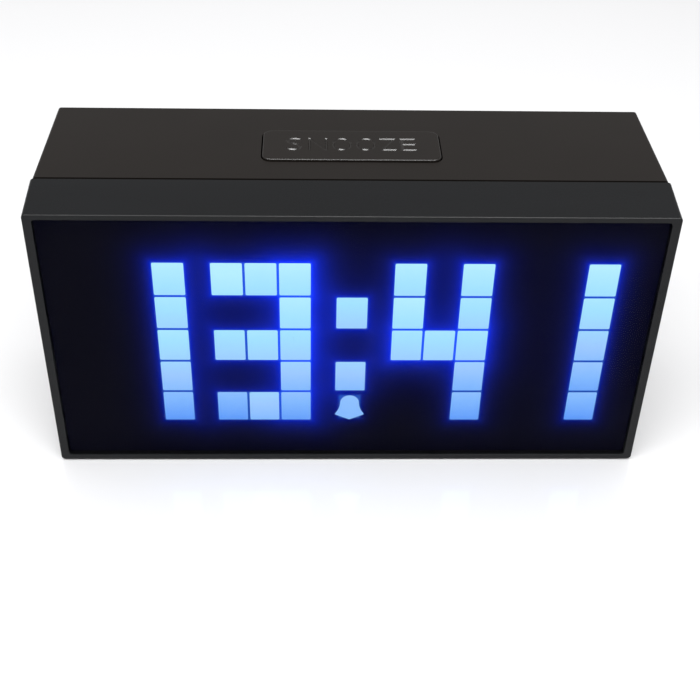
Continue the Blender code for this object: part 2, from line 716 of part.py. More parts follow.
def well_tubes(wall_bite):
    """The tubes that the case screws sit in."""
    y_low = Y_POST_BACK + CLEAR
    return [
        cylinder("well", (side * CASE_SCREW_X, z), WELL_RADIUS, "Y", y_low, wall_bite)
        for side, z in CORNERS
    ]


def control_post_places():
    """Where the control board's four posts stand, as (x, z)."""
    inset = CONTROL_POST_INSET
    x_ends = (CONTROL_X[0] + inset, CONTROL_X[1] - inset)
    return [(x, z) for z in (CONTROL_Z[0] + inset, CONTROL_Z[1] - inset) for x in x_ends]


def control_posts(wall_bite):
    """The posts that carry the control board."""
    y_low = Y_CONTROL + BOARD_THICKNESS + CLEAR
    return [
        cylinder("control_post", spot, CONTROL_POST_RADIUS, "Y", y_low, wall_bite)
        for spot in control_post_places()
    ]


def snooze_posts():
    """The two posts under the top wall that carry the snooze board."""
    z_low = Z_SNOOZE_BOARD + BOARD_THICKNESS + CLEAR
    return [
        cylinder("snooze_post", (x, SNOOZE_Y), SNOOZE_POST_RADIUS, "Z", z_low, Z_INNER_TOP + BITE)
        for x in (-SNOOZE_POST_X, SNOOZE_POST_X)
    ]


def well_bores():
    """The bores that let the case screws down to the floors of their wells."""
    y_floor = Y_POST_BACK + CLEAR + WELL_FLOOR
    return [
        cylinder("well_bore", (side * CASE_SCREW_X, z), WELL_BORE, "Y", y_floor, Y_BACK + FAR_PAST)
        for side, z in CORNERS
    ]


def screw_holes():
    """The clearance holes in the wells' floors and the pilot holes in the boards' posts."""
    shank = CASE_SCREW["shank"] + SCREW_CLEARANCE
    holes = [
        cylinder("shank_hole", (side * CASE_SCREW_X, z), shank, "Y", -0.008, 0.002, count=COARSE)
        for side, z in CORNERS
    ]
    pilot = BOARD_SCREW["shank"] + PILOT_GAP
    for spot in control_post_places():
        holes.append(cylinder("pilot", spot, pilot, "Y", Y_CONTROL, 0.0245, count=COARSE))
    for x in (-SNOOZE_POST_X, SNOOZE_POST_X):
        holes.append(cylinder("pilot", (x, SNOOZE_Y), pilot, "Z", Z_SNOOZE_BOARD, 0.0795, count=COARSE))
    return holes


def snooze_outline(grow):
    """The snooze button's outline seen from above, grown by a margin."""
    half_x = SNOOZE_WIDTH / 2 + grow
    half_y = SNOOZE_DEPTH / 2 + grow
    x_ends, y_ends = (-half_x, half_x), (SNOOZE_Y - half_y, SNOOZE_Y + half_y)
    return rounded_rectangle(x_ends, y_ends, max(SNOOZE_RADIUS + grow, 0.0006))


def snooze_opening():
    """The opening in the top wall that the snooze button stands in."""
    return prism("snooze_opening", [snooze_outline(SNOOZE_GAP)], "Z", Z_INNER_TOP - 0.002, 0.09)


def key_places():
    """Each rear key's name and x."""
    first = -KEY_PITCH * (len(KEY_NAMES) - 1) / 2
    return [(name, first + KEY_PITCH * k) for k, name in enumerate(KEY_NAMES)]


def key_outline(x, grow):
    """A key's outline seen from behind, grown by a margin."""
    half_x, half_z = KEY_SIZE[0] / 2 + grow, KEY_SIZE[1] / 2 + grow
    return rounded_rectangle((x - half_x, x + half_x), (KEY_Z - half_z, KEY_Z + half_z), KEY_RADIUS)


def key_openings():
    """The sunk panel round the keys and their four openings, as one cutter."""
    places = [x for _, x in key_places()]
    half_x = KEY_SIZE[0] / 2 + KEY_PANEL_MARGIN
    half_z = KEY_SIZE[1] / 2 + KEY_PANEL_MARGIN
    x_ends = (places[0] - half_x, places[-1] + half_x)
    outline = rounded_rectangle(x_ends, (KEY_Z - half_z, KEY_Z + half_z), 0.003)
    panel = prism("key_panel", [outline], "Y", Y_BACK - KEY_PANEL_DEPTH, Y_BACK + 0.002)
    holes = [
        prism("key_hole", [key_outline(x, CLEAR)], "Y", Y_BACK_INNER - 0.002, Y_BACK + 0.001)
        for x in places
    ]
    join(panel, gathered("key_holes", holes))
    return panel


def sound_slots():
    """The slots in the back wall in front of the buzzer, and the hole for the power jack."""
    y_ends = (Y_BACK_INNER - PAST, Y_BACK + PAST)
    half_x, half_z = SLOT_SIZE[0] / 2, SLOT_SIZE[1] / 2
    slots = []
    for k in range(SLOT_COUNT):
        x = BUZZER_X + (k - (SLOT_COUNT - 1) / 2) * SLOT_PITCH
        z_ends = (BUZZER_Z - half_z, BUZZER_Z + half_z)
        outline = rounded_rectangle((x - half_x, x + half_x), z_ends, half_x * 0.98, 3)
        slots.append(prism("slot", [outline], "Y", *y_ends))
    slots.append(cylinder("jack_hole", (JACK_X, JACK_Z), JACK_NOSE + CLEAR, "Y", *y_ends))
    return slots


def battery_cuts():
    """The door's recess and hinge sockets, the coin's well, the contacts' slots and a finger scoop."""
    x_ends = (DOOR_X[0] - CLEAR, DOOR_X[1] + CLEAR)
    z_ends = (DOOR_Z[0] - CLEAR, DOOR_Z[1] + CLEAR)
    y_floor = Y_BACK - DOOR_RECESS - DOOR_THICKNESS - CLEAR
    recess = box("door_recess", (x_ends[0], y_floor, z_ends[0]), (x_ends[1], 0.031, z_ends[1]))
    reach = DOOR_PIN_LENGTH + CLEAR
    axle = (Y_DOOR_AXIS, Z_DOOR_AXIS)
    sockets = cylinder("sockets", axle, DOOR_SOCKET, "X", DOOR_X[0] - reach, DOOR_X[1] + reach, count=COARSE)
    y_well = Y_COIN - COIN_WELL_DEPTH
    spot = (CELL_CENTRE_X, CELL_CENTRE_Z)
    well = cylinder("coin_well", spot, COIN_WELL, "Y", y_well, 0.03, count=FINE)
    x_slot = CELL_CENTRE_X + COIN_WELL
    slot = box("contact_slot", (x_slot - 0.002, y_well, 0.0395), (x_slot + 0.0022, 0.03, 0.0465))
    x_scoop = (CELL_CENTRE_X - 0.0035, CELL_CENTRE_X + 0.0035)
    z_scoop = (DOOR_Z[1] - 0.0005, DOOR_Z[1] + 0.0026)
    scoop_outline = rounded_rectangle(x_scoop, z_scoop, 0.0012)
    scoop = prism("finger_scoop", [scoop_outline], "Y", Y_BACK - 0.0013, 0.031)
    return recess, sockets, well, slot, scoop


# ---- Snooze assembly ------------------------------------------------------------------------------


def snooze_assembly():
    """The button, its guide pins, springs, switch, board and screws."""
    snooze_button()
    board_top = Z_SNOOZE_BOARD + BOARD_THICKNESS
    half_x, half_y = SNOOZE_BOARD_HALF
    outline = rounded_rectangle((-half_x, half_x), (SNOOZE_Y - half_y, SNOOZE_Y + half_y), POCKET_RADIUS)
    sides = (-1, 1)
    holes = [circle_outline(s * SNOOZE_PIN_X, SNOOZE_Y, SNOOZE_PIN_RADIUS + CLEAR, COARSE) for s in sides]
    screw_hole = BOARD_SCREW["shank"] + SCREW_CLEARANCE
    holes += [circle_outline(s * SNOOZE_POST_X, SNOOZE_Y, screw_hole, COARSE) for s in sides]
    prism("snooze_board", [outline, *holes], "Z", Z_SNOOZE_BOARD, board_top, BOARD_GREEN)
    for side, word in zip(sides, ("left", "right")):
        snooze_spring(f"snooze_spring_{word}", side * SNOOZE_PIN_X, board_top)
        seat = (side * SNOOZE_POST_X, SNOOZE_Y, Z_SNOOZE_BOARD - NEAR)
        screw(f"snooze_board_screw_{word}", BOARD_SCREW, seat, HEAD_DOWN)
    body = switch_body("snooze_switch_body")
    body.location = (0, SNOOZE_Y, board_top + NEAR)
    plunger = switch_plunger("snooze_switch_plunger")
    plunger.location = body.location


def snooze_button():
    """The button: a hollow cap with a flange, two guide pins and a presser over the switch."""
    z_flange = Z_INNER_TOP - CLEAR
    z_low = z_flange - FLANGE_THICKNESS
    cap = prism(
        "snooze_button",
        [snooze_outline(0)],
        "Z",
        z_low + 0.0003,
        Z_SNOOZE_TOP,
        HOUSING_PLASTIC,
        bevel=0.0004,
    )
    join(cap, prism("cap_flange", [snooze_outline(SNOOZE_FLANGE)], "Z", z_low, z_flange))
    cut(cap, prism("cap_hollow", [snooze_outline(-0.002)], "Z", z_low - 0.001, Z_SNOOZE_UNDER))
    bite = Z_SNOOZE_UNDER + 0.0006
    z_pin = Z_SNOOZE_BOARD + 0.0001
    spots = (-SNOOZE_PIN_X, SNOOZE_PIN_X)
    pins = [cylinder("pin", (x, SNOOZE_Y), SNOOZE_PIN_RADIUS, "Z", z_pin, bite, count=COARSE) for x in spots]
    z_press = Z_SNOOZE_BOARD + BOARD_THICKNESS + NEAR + SWITCH_HEIGHT + PLUNGER_RISE + NEAR
    presser = cylinder("presser", (0, SNOOZE_Y), PRESSER_RADIUS, "Z", z_press, bite, count=COARSE)
    join(cap, gathered("cap_pins", [*pins, presser]))
    set_origin(cap, (0, SNOOZE_Y, Z_SNOOZE_TOP))


def snooze_spring(name, x, board_top):
    """A compression spring round a guide pin: a helix of round wire."""
    low = board_top + NEAR + SPRING_WIRE
    high = Z_SNOOZE_UNDER - NEAR - SPRING_WIRE
    curve = bpy.data.curves.new(name, "CURVE")
    curve.dimensions = "3D"
    curve.bevel_depth = SPRING_WIRE
    curve.bevel_resolution = 2
    curve.use_fill_caps = True
    count = SPRING_TURNS * SPRING_POINTS_A_TURN + 1
    spline = curve.splines.new("POLY")
    spline.points.add(count - 1)
    for k, point in enumerate(spline.points):
        share = k / (count - 1)
        angle = 2 * math.pi * SPRING_TURNS * share
        across = (SPRING_RADIUS * math.cos(angle), SPRING_RADIUS * math.sin(angle))
        point.co = (*across, low + (high - low) * share - board_top, 1)
    spring = place(bpy.data.objects.new(name, curve), PARTS, SPRING_STEEL)
    spring.location = (x, SNOOZE_Y, board_top)


def switch_body(name):
    """A tact switch's case, standing on its origin along +Z, with a bore for the plunger."""
    half = SWITCH_SIDE / 2
    outline = rounded_rectangle((-half, half), (-half, half), 0.0006, 2)
    body = prism(name, [outline], "Z", 0, SWITCH_HEIGHT, CHIP_BLACK)
    set_origin(body, (0, 0, 0))
    floor = SWITCH_HEIGHT - SWITCH_BORE_DEPTH
    bore = cylinder(name + "_bore", (0, 0), SWITCH_BORE, "Z", floor, SWITCH_HEIGHT + 0.001, count=COARSE)
    set_origin(bore, (0, 0, 0))
    bore.parent = body
    cut(body, bore)
    return body


def switch_plunger(name):
    """A tact switch's plunger, in its body's own frame."""
    low = SWITCH_HEIGHT - PLUNGER_SUNK
    high = SWITCH_HEIGHT + PLUNGER_RISE
    plunger = cylinder(name, (0, 0), PLUNGER_RADIUS, "Z", low, high, CHIP_BLACK, count=COARSE)
    set_origin(plunger, (0, 0, 0))
    return plunger


# ---- Control board assembly -----------------------------------------------------------------------


def control_assembly():
    """The control board, its screws, its components and the four rear keys."""
    outline = rounded_rectangle(CONTROL_X, CONTROL_Z, 0.001)
    hole = BOARD_SCREW["shank"] + SCREW_CLEARANCE
    holes = [circle_outline(*spot, hole, COARSE) for spot in control_post_places()]
    y_back = Y_CONTROL + BOARD_THICKNESS
    prism("control_board", [outline, *holes], "Y", Y_CONTROL, y_back, BOARD_GREEN)
    for number, (x, z) in enumerate(control_post_places(), 1):
        screw(f"control_board_screw_{number}", BOARD_SCREW, (x, Y_CONTROL - NEAR, z), HEAD_TO_FRONT)
    y_front = Y_CONTROL - NEAR
    box("microcontroller", (-0.014, y_front - 0.0023, 0.036), (0.004, y_front, 0.0435), CHIP_BLACK, 0.0002)
    box("crystal", (-0.034, y_front - 0.0035, 0.038), (-0.023, y_front, 0.0426), SPRING_STEEL, 0.0008)
    spot = (-0.027, 0.024)
    cylinder("smoothing_capacitor", spot, 0.00315, "Y", y_front - 0.008, y_front, LEAD_BLACK)
    header("control_header", y_front - HEADER_HEIGHT, y_front)
    y_rear = y_back + NEAR
    spot = (BUZZER_X, BUZZER_Z)
    buzzer = cylinder("buzzer", spot, BUZZER_RADIUS, "Y", y_rear, y_rear + BUZZER_HEIGHT, CHIP_BLACK, FINE)
    y_mouth = y_rear + BUZZER_HEIGHT
    cut(buzzer, cylinder("buzzer_mouth", spot, 0.0011, "Y", y_mouth - 0.001, y_mouth + 0.001, count=COARSE))
    power_jack(y_rear)
    for name, x in key_places():
        rear_key(name, x, y_rear)
    ribbon_cable(y_front)
    snooze_lead(y_front)


def power_jack(y_rear):
    """The barrel socket and, as its own piece, its centre pin."""
    half_x, half_z = JACK_HALF
    low = (JACK_X - half_x, y_rear, JACK_Z - half_z)
    jack = box("dc_jack", low, (JACK_X + half_x, Y_BACK_INNER - CLEAR, JACK_Z + half_z), CHIP_BLACK)
    spot = (JACK_X, JACK_Z)
    join(jack, cylinder("jack_nose", spot, JACK_NOSE, "Y", Y_BACK_INNER - JACK_NOSE_BITE, Y_BACK - CLEAR))
    y_floor = y_rear + JACK_FLOOR
    cut(jack, cylinder("jack_bore", spot, JACK_BORE, "Y", y_floor, Y_BACK + FAR_PAST))
    y_ends = (y_floor + NEAR, Y_BACK - JACK_PIN_SUNK)
    cylinder("dc_jack_pin", spot, JACK_PIN_RADIUS, "Y", *y_ends, CONTACT_METAL, COARSE)


def rear_key(name, x, y_rear):
    """One key cap with its flange and presser, and the switch behind it."""
    body = switch_body(f"{name}_switch_body")
    body.rotation_euler = HEAD_TO_BACK
    body.location = (x, y_rear, KEY_Z)
    plunger = switch_plunger(f"{name}_switch_plunger")
    plunger.rotation_euler = HEAD_TO_BACK
    plunger.location = body.location
    y_top = Y_BACK - KEY_PANEL_DEPTH + KEY_RISE
    y_flange = Y_BACK_INNER - CLEAR
    key = prism(name, [key_outline(x, 0)], "Y", y_flange - KEY_BITE, y_top, HOUSING_PLASTIC, SHELL_BEVEL)
    y_ends = (y_flange - FLANGE_THICKNESS, y_flange)
    flange = prism(f"{name}_flange", [key_outline(x, KEY_FLANGE)], "Y", *y_ends)
    y_press = y_rear + SWITCH_HEIGHT + PLUNGER_RISE + NEAR
    y_ends = (y_press, y_flange - PAST)
    presser = cylinder(f"{name}_presser", (x, KEY_Z), KEY_PRESSER_RADIUS, "Y", *y_ends, count=COARSE)
    join(key, flange, presser)
    set_origin(key, (x, y_top, KEY_Z))


def ribbon_cable(y_front):
    """The flat cable between the two boards: a strip that hangs in one smooth bow."""
    y_ends = (Y_LED_BOARD + BOARD_THICKNESS + 2 * NEAR + HEADER_HEIGHT, y_front - HEADER_HEIGHT - NEAR)
    steps = 20
    upper, lower = [], []
    for k in range(steps + 1):
        share = k / steps
        y = y_ends[0] + (y_ends[1] - y_ends[0]) * share
        z = RIBBON_Z - RIBBON_SAG * math.sin(math.pi * share) ** 2
        slope = -RIBBON_SAG * math.pi * math.sin(2 * math.pi * share) / (y_ends[1] - y_ends[0])
        normal = Vector((-slope, 1)).normalized() * RIBBON_THICKNESS / 2
        upper.append((y + normal.x, z + normal.y))
        lower.append((y - normal.x, z - normal.y))
    outline = upper + lower[::-1]
    half = RIBBON_WIDTH / 2
    prism("ribbon_cable", [outline], "X", RIBBON_X - half, RIBBON_X + half, RIBBON_GREY)


def snooze_lead(y_front):
    """The round lead from the snooze board down to the control board, along a cubic curve."""
    ends = Vector((0.022, SNOOZE_Y, Z_SNOOZE_BOARD - NEAR)), Vector((0.020, y_front - NEAR, 0.058))
    pulls = ends[0] + Vector((0, 0, -0.009)), ends[1] + Vector((0, -0.007, 0))
    curve = bpy.data.curves.new("snooze_lead", "CURVE")
    curve.dimensions = "3D"
    curve.bevel_depth = 0.0008
    curve.bevel_resolution = 2
    curve.use_fill_caps = True
    steps = 14
    spline = curve.splines.new("POLY")
    spline.points.add(steps)
    for k, point in enumerate(spline.points):
        t = k / steps
        s = 1 - t
        middle = 3 * s * s * t * pulls[0] + 3 * s * t * t * pulls[1]
        point.co = (*(s**3 * ends[0] + middle + t**3 * ends[1]), 1)
    place(bpy.data.objects.new("snooze_lead", curve), PARTS, LEAD_BLACK)


# ---- Battery, feet and case screws ----------------------------------------------------------------


def battery_door():
    """The door: a plate with a rounded lower edge and a pin at each end of it, on the hinge axis."""
    radius = DOOR_THICKNESS / 2
    steps = 6
    turns = (math.pi + math.pi * k / steps for k in range(steps + 1))
    edge = [(Y_DOOR_AXIS + radius * math.cos(a), Z_DOOR_AXIS + radius * math.sin(a)) for a in turns]
    top = [(Y_DOOR_AXIS + radius, DOOR_Z[1]), (Y_DOOR_AXIS - radius, DOOR_Z[1])]
    door = prism("battery_door", [edge + top], "X", *DOOR_X, HOUSING_PLASTIC)
    x_ends = (DOOR_X[0] - DOOR_PIN_LENGTH, DOOR_X[1] + DOOR_PIN_LENGTH)
    axle = (Y_DOOR_AXIS, Z_DOOR_AXIS)
    join(door, cylinder("door_axle", axle, DOOR_PIN_RADIUS, "X", *x_ends, count=12))
    set_origin(door, ((DOOR_X[0] + DOOR_X[1]) / 2, *axle))


def coin_cell():
    """The back-up cell, with the step round its rim, and its two contacts."""
    rim = 0.0008
    profile = [
        (0, COIN_THICKNESS),
        (COIN_RADIUS - 0.0002, COIN_THICKNESS),
        (COIN_RADIUS, COIN_THICKNESS - 0.0002),
        (COIN_RADIUS, rim),
        (COIN_RADIUS - 0.0011, 0.0004),
        (COIN_RADIUS - 0.0014, 0),
        (0, 0),
    ]
    coin = turned("coin_cell", profile, COIN_STEEL, steps=FINE)
    coin.rotation_euler = HEAD_TO_BACK
    coin.location = (CELL_CENTRE_X, Y_COIN, CELL_CENTRE_Z)
    y_well = Y_COIN - COIN_WELL_DEPTH
    low = (CELL_CENTRE_X - 0.006, y_well + NEAR, CELL_CENTRE_Z - 0.003)
    high = (CELL_CENTRE_X + 0.006, y_well + NEAR + 0.0003, CELL_CENTRE_Z + 0.003)
    leaf = box("battery_contact_negative", low, high, CONTACT_METAL)
    dimple = [(0, 0.0009), (0.0011, 0.0006), (0.0016, 0), (0.0016, -0.0002), (0, -0.0002)]
    bump = turned("contact_dimple", dimple, CONTACT_METAL, steps=COARSE)
    bump.rotation_euler = HEAD_TO_BACK
    bump.location = (CELL_CENTRE_X, y_well + NEAR + 0.00015, CELL_CENTRE_Z)
    join(leaf, bump)
    x = CELL_CENTRE_X + COIN_RADIUS + NEAR
    outline = [
        (x, y_well + 0.001),
        (x + 0.0004, y_well + 0.001),
        (x + 0.0004, Y_COIN + 0.0026),
        (x + 0.0018, Y_COIN + 0.0026),
        (x + 0.0018, y_well + NEAR),
        (x + 0.0022, y_well + NEAR),
        (x + 0.0022, Y_COIN + 0.003),
        (x, Y_COIN + 0.003),
    ]
    prism("battery_contact_positive", [outline], "Z", 0.0405, 0.0455, CONTACT_METAL)


def feet():
    """Four rubber pads, sunk a little into the underside."""
    profile = [
        (0, FOOT_HEIGHT),
        (FOOT_RADIUS, FOOT_HEIGHT),
        (FOOT_RADIUS, FOOT_EDGE),
        (FOOT_RADIUS - FOOT_EDGE, 0),
        (0, 0),
    ]
    spots = [(x, y) for y in FOOT_Y for x in (-FOOT_X, FOOT_X)]
    for number, (x, y) in enumerate(spots, 1):
        foot = turned(f"foot_{number}", profile, RUBBER)
        foot.location = (x, y, 0)


def case_screws():
    """The four screws that hold the housing to the bezel."""
    y_seat = Y_POST_BACK + CLEAR + WELL_FLOOR + NEAR
    for number, (side, z) in enumerate(CORNERS, 1):
        screw(f"case_screw_{number}", CASE_SCREW, (side * CASE_SCREW_X, y_seat, z), HEAD_TO_BACK)


def shade_all():
    """Smooth shading with sharp edges kept, on every part that is a mesh."""
    for obj in PARTS.objects:
        if obj.type == "MESH":
            obj.data.shade_smooth()
            obj.data.set_sharp_from_angle(angle=math.radians(30))


def main():
    """Builds the clock from the front to the back."""
    front_bezel()
    front_lens()
    diffuser_film()
    light_grid()
    led_board()
    rear_housing()
    snooze_assembly()
    control_assembly()
    battery_door()
    coin_cell()
    feet()
    case_screws()
    shade_all()


main()
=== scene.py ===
"""Looks of a desk alarm clock that shows the time in blocks of light.

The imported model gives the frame: every place is read from its nodes. The pieces made here are surfaces
worked out as whole arrays: stacks of rounded rectangles, turned profiles and flat signs. Lengths are in
metres, +X is to the right of someone who faces the display, +Y runs to the back and +Z is up.
"""

import json
import logging
import math
from collections.abc import Callable, Iterable, Mapping, Sequence
from dataclasses import dataclass, field
from enum import Enum

import bmesh
import bpy
import numpy as np
from mathutils import Matrix, Vector


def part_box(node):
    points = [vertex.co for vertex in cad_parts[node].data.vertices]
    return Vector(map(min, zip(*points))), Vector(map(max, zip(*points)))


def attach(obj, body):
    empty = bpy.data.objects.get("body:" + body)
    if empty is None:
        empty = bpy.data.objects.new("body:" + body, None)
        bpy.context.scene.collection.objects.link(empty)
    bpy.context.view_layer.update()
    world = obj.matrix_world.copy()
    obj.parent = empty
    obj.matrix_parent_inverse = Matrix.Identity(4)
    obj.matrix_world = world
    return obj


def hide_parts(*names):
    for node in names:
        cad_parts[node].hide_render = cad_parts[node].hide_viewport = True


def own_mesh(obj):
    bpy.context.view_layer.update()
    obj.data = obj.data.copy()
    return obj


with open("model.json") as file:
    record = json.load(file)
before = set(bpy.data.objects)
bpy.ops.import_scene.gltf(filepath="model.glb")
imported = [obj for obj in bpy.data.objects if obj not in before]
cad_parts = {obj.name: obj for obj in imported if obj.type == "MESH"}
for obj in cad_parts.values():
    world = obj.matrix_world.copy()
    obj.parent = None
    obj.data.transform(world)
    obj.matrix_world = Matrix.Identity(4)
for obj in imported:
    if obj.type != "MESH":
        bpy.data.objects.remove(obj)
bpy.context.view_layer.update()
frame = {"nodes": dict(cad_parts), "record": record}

LOG = logging.getLogger("alarm_clock")
MM = 0.001
Array = np.ndarray
Colour = tuple[float, float, float]


# ---- Shader trees ---------------------------------------------------------------------------------


def math_method(operation: str, flipped: bool = False) -> Callable[..., "Wire"]:
    """A method of Wire that adds one Math node.

    Args:
        operation: the node's operation.
        flipped: whether the wire itself is the last value and not the first.
    Returns:
        The method. It takes the node's other values.
    """

    def method(wire: "Wire", *others: "Wire | float") -> "Wire":
        """Adds the node."""
        values = (*others, wire) if flipped else (wire, *others)
        return wire.shader.add("ShaderNodeMath", {"operation": operation}, dict(enumerate(values)))

    return method


class Wire:
    """One output socket of a shader tree. Python's operators on it add Math nodes."""

    __add__ = math_method("ADD")
    __radd__ = math_method("ADD", flipped=True)
    __sub__ = math_method("SUBTRACT")
    __rsub__ = math_method("SUBTRACT", flipped=True)
    __mul__ = math_method("MULTIPLY")
    __pow__ = math_method("POWER")
    __abs__ = math_method("ABSOLUTE")
    at_least = math_method("MAXIMUM")
    at_most = math_method("MINIMUM")
    exp = math_method("EXPONENT")
    sine = math_method("SINE")

    def __init__(self, shader: "Shader", socket: bpy.types.NodeSocket) -> None:
        """Keeps the tree and its output socket."""
        self.shader = shader
        self.socket = socket

    def ramp(self, low: float, high: float) -> "Wire":
        """A smooth step from 0 at low to 1 at high."""
        settings = {"interpolation_type": "SMOOTHSTEP"}
        return self.shader.add("ShaderNodeMapRange", settings, {0: self, 1: low, 2: high})


class Shader:
    """A material and its node tree, with one method that adds any node to it."""

    def __init__(self, name: str) -> None:
        """Starts an empty tree for the finish of this name."""
        self.material = bpy.data.materials.new(name)
        self.material.use_nodes = True
        self.tree = self.material.node_tree
        self.tree.nodes.clear()

    def add(
        self,
        kind: str,
        settings: Mapping[str, object] | None = None,
        values: Mapping[int | str, object] | None = None,
        output: int | str | None = 0,
    ) -> Wire | None:
        """Adds a node.

        Args:
            kind: the node's type, such as "ShaderNodeMath".
            settings: the node's own settings. "stops" are a ramp's (position, colour) pairs.
            values: what each input holds: a number, a colour, or another node's output.
            output: which output to return, if any.
        Returns:
            The chosen output.
        """
        node = self.tree.nodes.new(kind)
        for key, value in (settings or {}).items():
            if key == "stops":
                self.set_stops(node.color_ramp.elements, value)
            else:
                setattr(node, key, value)
        for key, value in (values or {}).items():
            if isinstance(value, Wire):
                self.tree.links.new(value.socket, node.inputs[key])
            else:
                node.inputs[key].default_value = value
        return None if output is None else Wire(self, node.outputs[output])

    @staticmethod
    def set_stops(elements: bpy.types.ColorRampElements, stops: Sequence[tuple[float, Colour]]) -> None:
        """Gives a ramp its stops. A new ramp has two, and the rest are added."""
        for _ in range(len(stops) - len(elements)):
            elements.new(1.0)
        for element, (position, colour) in zip(elements, stops):
            element.position = position
            element.color = (*colour, 1.0)

    def place(self) -> Wire:
        """The point on the piece, in metres in the clock's own frame."""
        return self.add("ShaderNodeTexCoord", output="Object")

    def axes(self, place: Wire) -> tuple[Wire, Wire, Wire]:
        """The three numbers of a point."""
        split = self.add("ShaderNodeSeparateXYZ", None, {0: place})
        return tuple(Wire(self, socket) for socket in split.socket.node.outputs)

    def stretched(self, place: Wire, factors: Colour) -> Wire:
        """The point with each axis multiplied by its factor."""
        return self.add("ShaderNodeVectorMath", {"operation": "MULTIPLY"}, {0: place, 1: factors})

    def noise(self, place: Wire, size: float, detail: float = 2.0, roughness: float = 0.5) -> Wire:
        """Soft noise from 0 to 1 whose largest lumps are about this size in metres."""
        values = {"Vector": place, "Scale": 1 / size, "Detail": detail, "Roughness": roughness}
        return self.add("ShaderNodeTexNoise", None, values)

    def cells(self, place: Wire, size: float) -> Wire:
        """The distance to the nearest of many scattered points, as a share of this size."""
        return self.add("ShaderNodeTexVoronoi", None, {"Vector": place, "Scale": 1 / size})

    def blend(self, share: Wire | float, first: object, second: object) -> Wire:
        """A colour between two colours."""
        values = {0: share, 6: first, 7: second}
        return self.add("ShaderNodeMix", {"data_type": "RGBA"}, values, output=2)

    def scaled(self, colour: Colour, strength: Wire) -> Wire:
        """A colour multiplied by a number that varies."""
        values = {0: colour, "Scale": strength}
        return self.add("ShaderNodeVectorMath", {"operation": "SCALE"}, values)

    def bump(self, height: Wire, depth: float, strength: float = 1.0) -> Wire:
        """A normal that follows a height of 0 to 1, this deep in metres."""
        return self.add("ShaderNodeBump", None, {"Height": height, "Distance": depth, "Strength": strength})

    def finish(self, values: Mapping[str, object]) -> bpy.types.Material:
        """Adds the Principled shader with these values and the output.

        Args:
            values: what the shader's sockets hold.
        Returns:
            The finished material.
        """
        principled = self.add("ShaderNodeBsdfPrincipled", None, values)
        self.add("ShaderNodeOutputMaterial", None, {"Surface": principled}, None)
        return self.material


def light_of(red: int, green: int, blue: int) -> Colour:
    """A colour's display values, 0 to 255, as the light that they stand for.

    Below 0.04045 the display value is divided by 12.92, and above it is ((v + 0.055) / 1.055) to the 2.4.
    """
    values = np.array((red, green, blue)) / 255
    curve = np.where(values <= 0.04045, values / 12.92, ((values + 0.055) / 1.055) ** 2.4)
    return tuple(float(v) for v in curve)


def opaque(colour: Colour) -> tuple[float, float, float, float]:
    """A colour with its alpha of 1."""
    return (*colour, 1.0)


# ---- Finishes -------------------------------------------------------------------------------------


class Finish:
    """A surface finish. Each kind is a frozen dataclass that says what its shader's sockets hold."""

    name: str

    def sockets(self, shader: Shader, place: Wire) -> dict[str, object]:
        """What the shader's sockets hold at this point of the piece."""
        raise NotImplementedError

    def material(self) -> bpy.types.Material:
        """The finish as a material."""
        shader = Shader(self.name)
        return shader.finish(self.sockets(shader, shader.place()))


@dataclass(frozen=True)
class MouldedPlastic(Finish):
    """Plastic from a spark-eroded mould: a fine pebbled grain, faint tone mottle that a stretch draws into
    painted sheen streaks, and uneven gloss.
    """

    name: str
    colour: Colour
    roughness: float = 0.42
    specular: float = 0.5
    grain_size: float = 0.35 * MM
    grain_depth: float = 0.006 * MM
    mottle_and_sheen: float = 0.12
    sheen_stretch: Colour = (1.0, 1.0, 1.0)
    mottle_and_sheen_size: float = 18 * MM
    handled_size: float = 30 * MM

    def sockets(self, shader: Shader, place: Wire) -> dict[str, object]:
        """What the shader's sockets hold."""
        # The noise varies the tone at random; stretched along one axis it paints streaks of reflection into
        # the colour.
        mottle_and_sheen = shader.noise(shader.stretched(place, self.sheen_stretch), self.mottle_and_sheen_size, 4.0, 0.6)
        low = opaque(tuple(c * (1 - self.mottle_and_sheen) for c in self.colour))
        high = opaque(tuple(c * (1 + self.mottle_and_sheen) for c in self.colour))
        pebbles = shader.cells(place, self.grain_size)
        fuzz = shader.noise(place, self.grain_size * 0.6, 2.0)
        handled = shader.noise(place, self.handled_size, 3.0, 0.55)
        grain = pebbles * 0.6 + fuzz * 0.4
        return {
            "Base Color": shader.blend(mottle_and_sheen, low, high),
            "Roughness": self.roughness + (handled - 0.5) * 0.12 + (fuzz - 0.5) * 0.05,
            "Specular IOR Level": self.specular,
            "Normal": shader.bump(grain, self.grain_depth, 0.8),
        }


@dataclass(frozen=True)
class SmokedPanel(Finish):
    """Polished smoked acrylic: nearly black, seen through, with faint wiping marks in its gloss."""

    name: str = "smoked_acrylic_polished"
    tint: Colour = (0.0022, 0.0019, 0.0022)
    cover: float = 0.30
    gloss: float = 0.07
    specular: float = 0.04
    wipe_size: float = 25 * MM
    wipe_stretch: Colour = (1.0, 1.0, 0.25)
    speck_size: float = 0.8 * MM
    speck_colour: Colour = (0.03, 0.03, 0.035)

    @property
    def through(self) -> float:
        """The share of light that passes both of the panel's faces."""
        return (1 - self.cover) ** 2

    def sockets(self, shader: Shader, place: Wire) -> dict[str, object]:
        """What the shader's sockets hold."""
        wiped = shader.noise(shader.stretched(place, self.wipe_stretch), self.wipe_size, 4.0, 0.6)
        specks = shader.noise(place, self.speck_size, 2.0)
        dust = specks.ramp(0.72, 0.80)
        return {
            "Base Color": shader.blend(dust * 0.15, opaque(self.tint), opaque(self.speck_colour)),
            "Roughness": self.gloss + wiped.ramp(0.35, 0.75) * 0.06,
            "Specular IOR Level": self.specular,
            "Alpha": self.cover + dust * 0.05,
        }


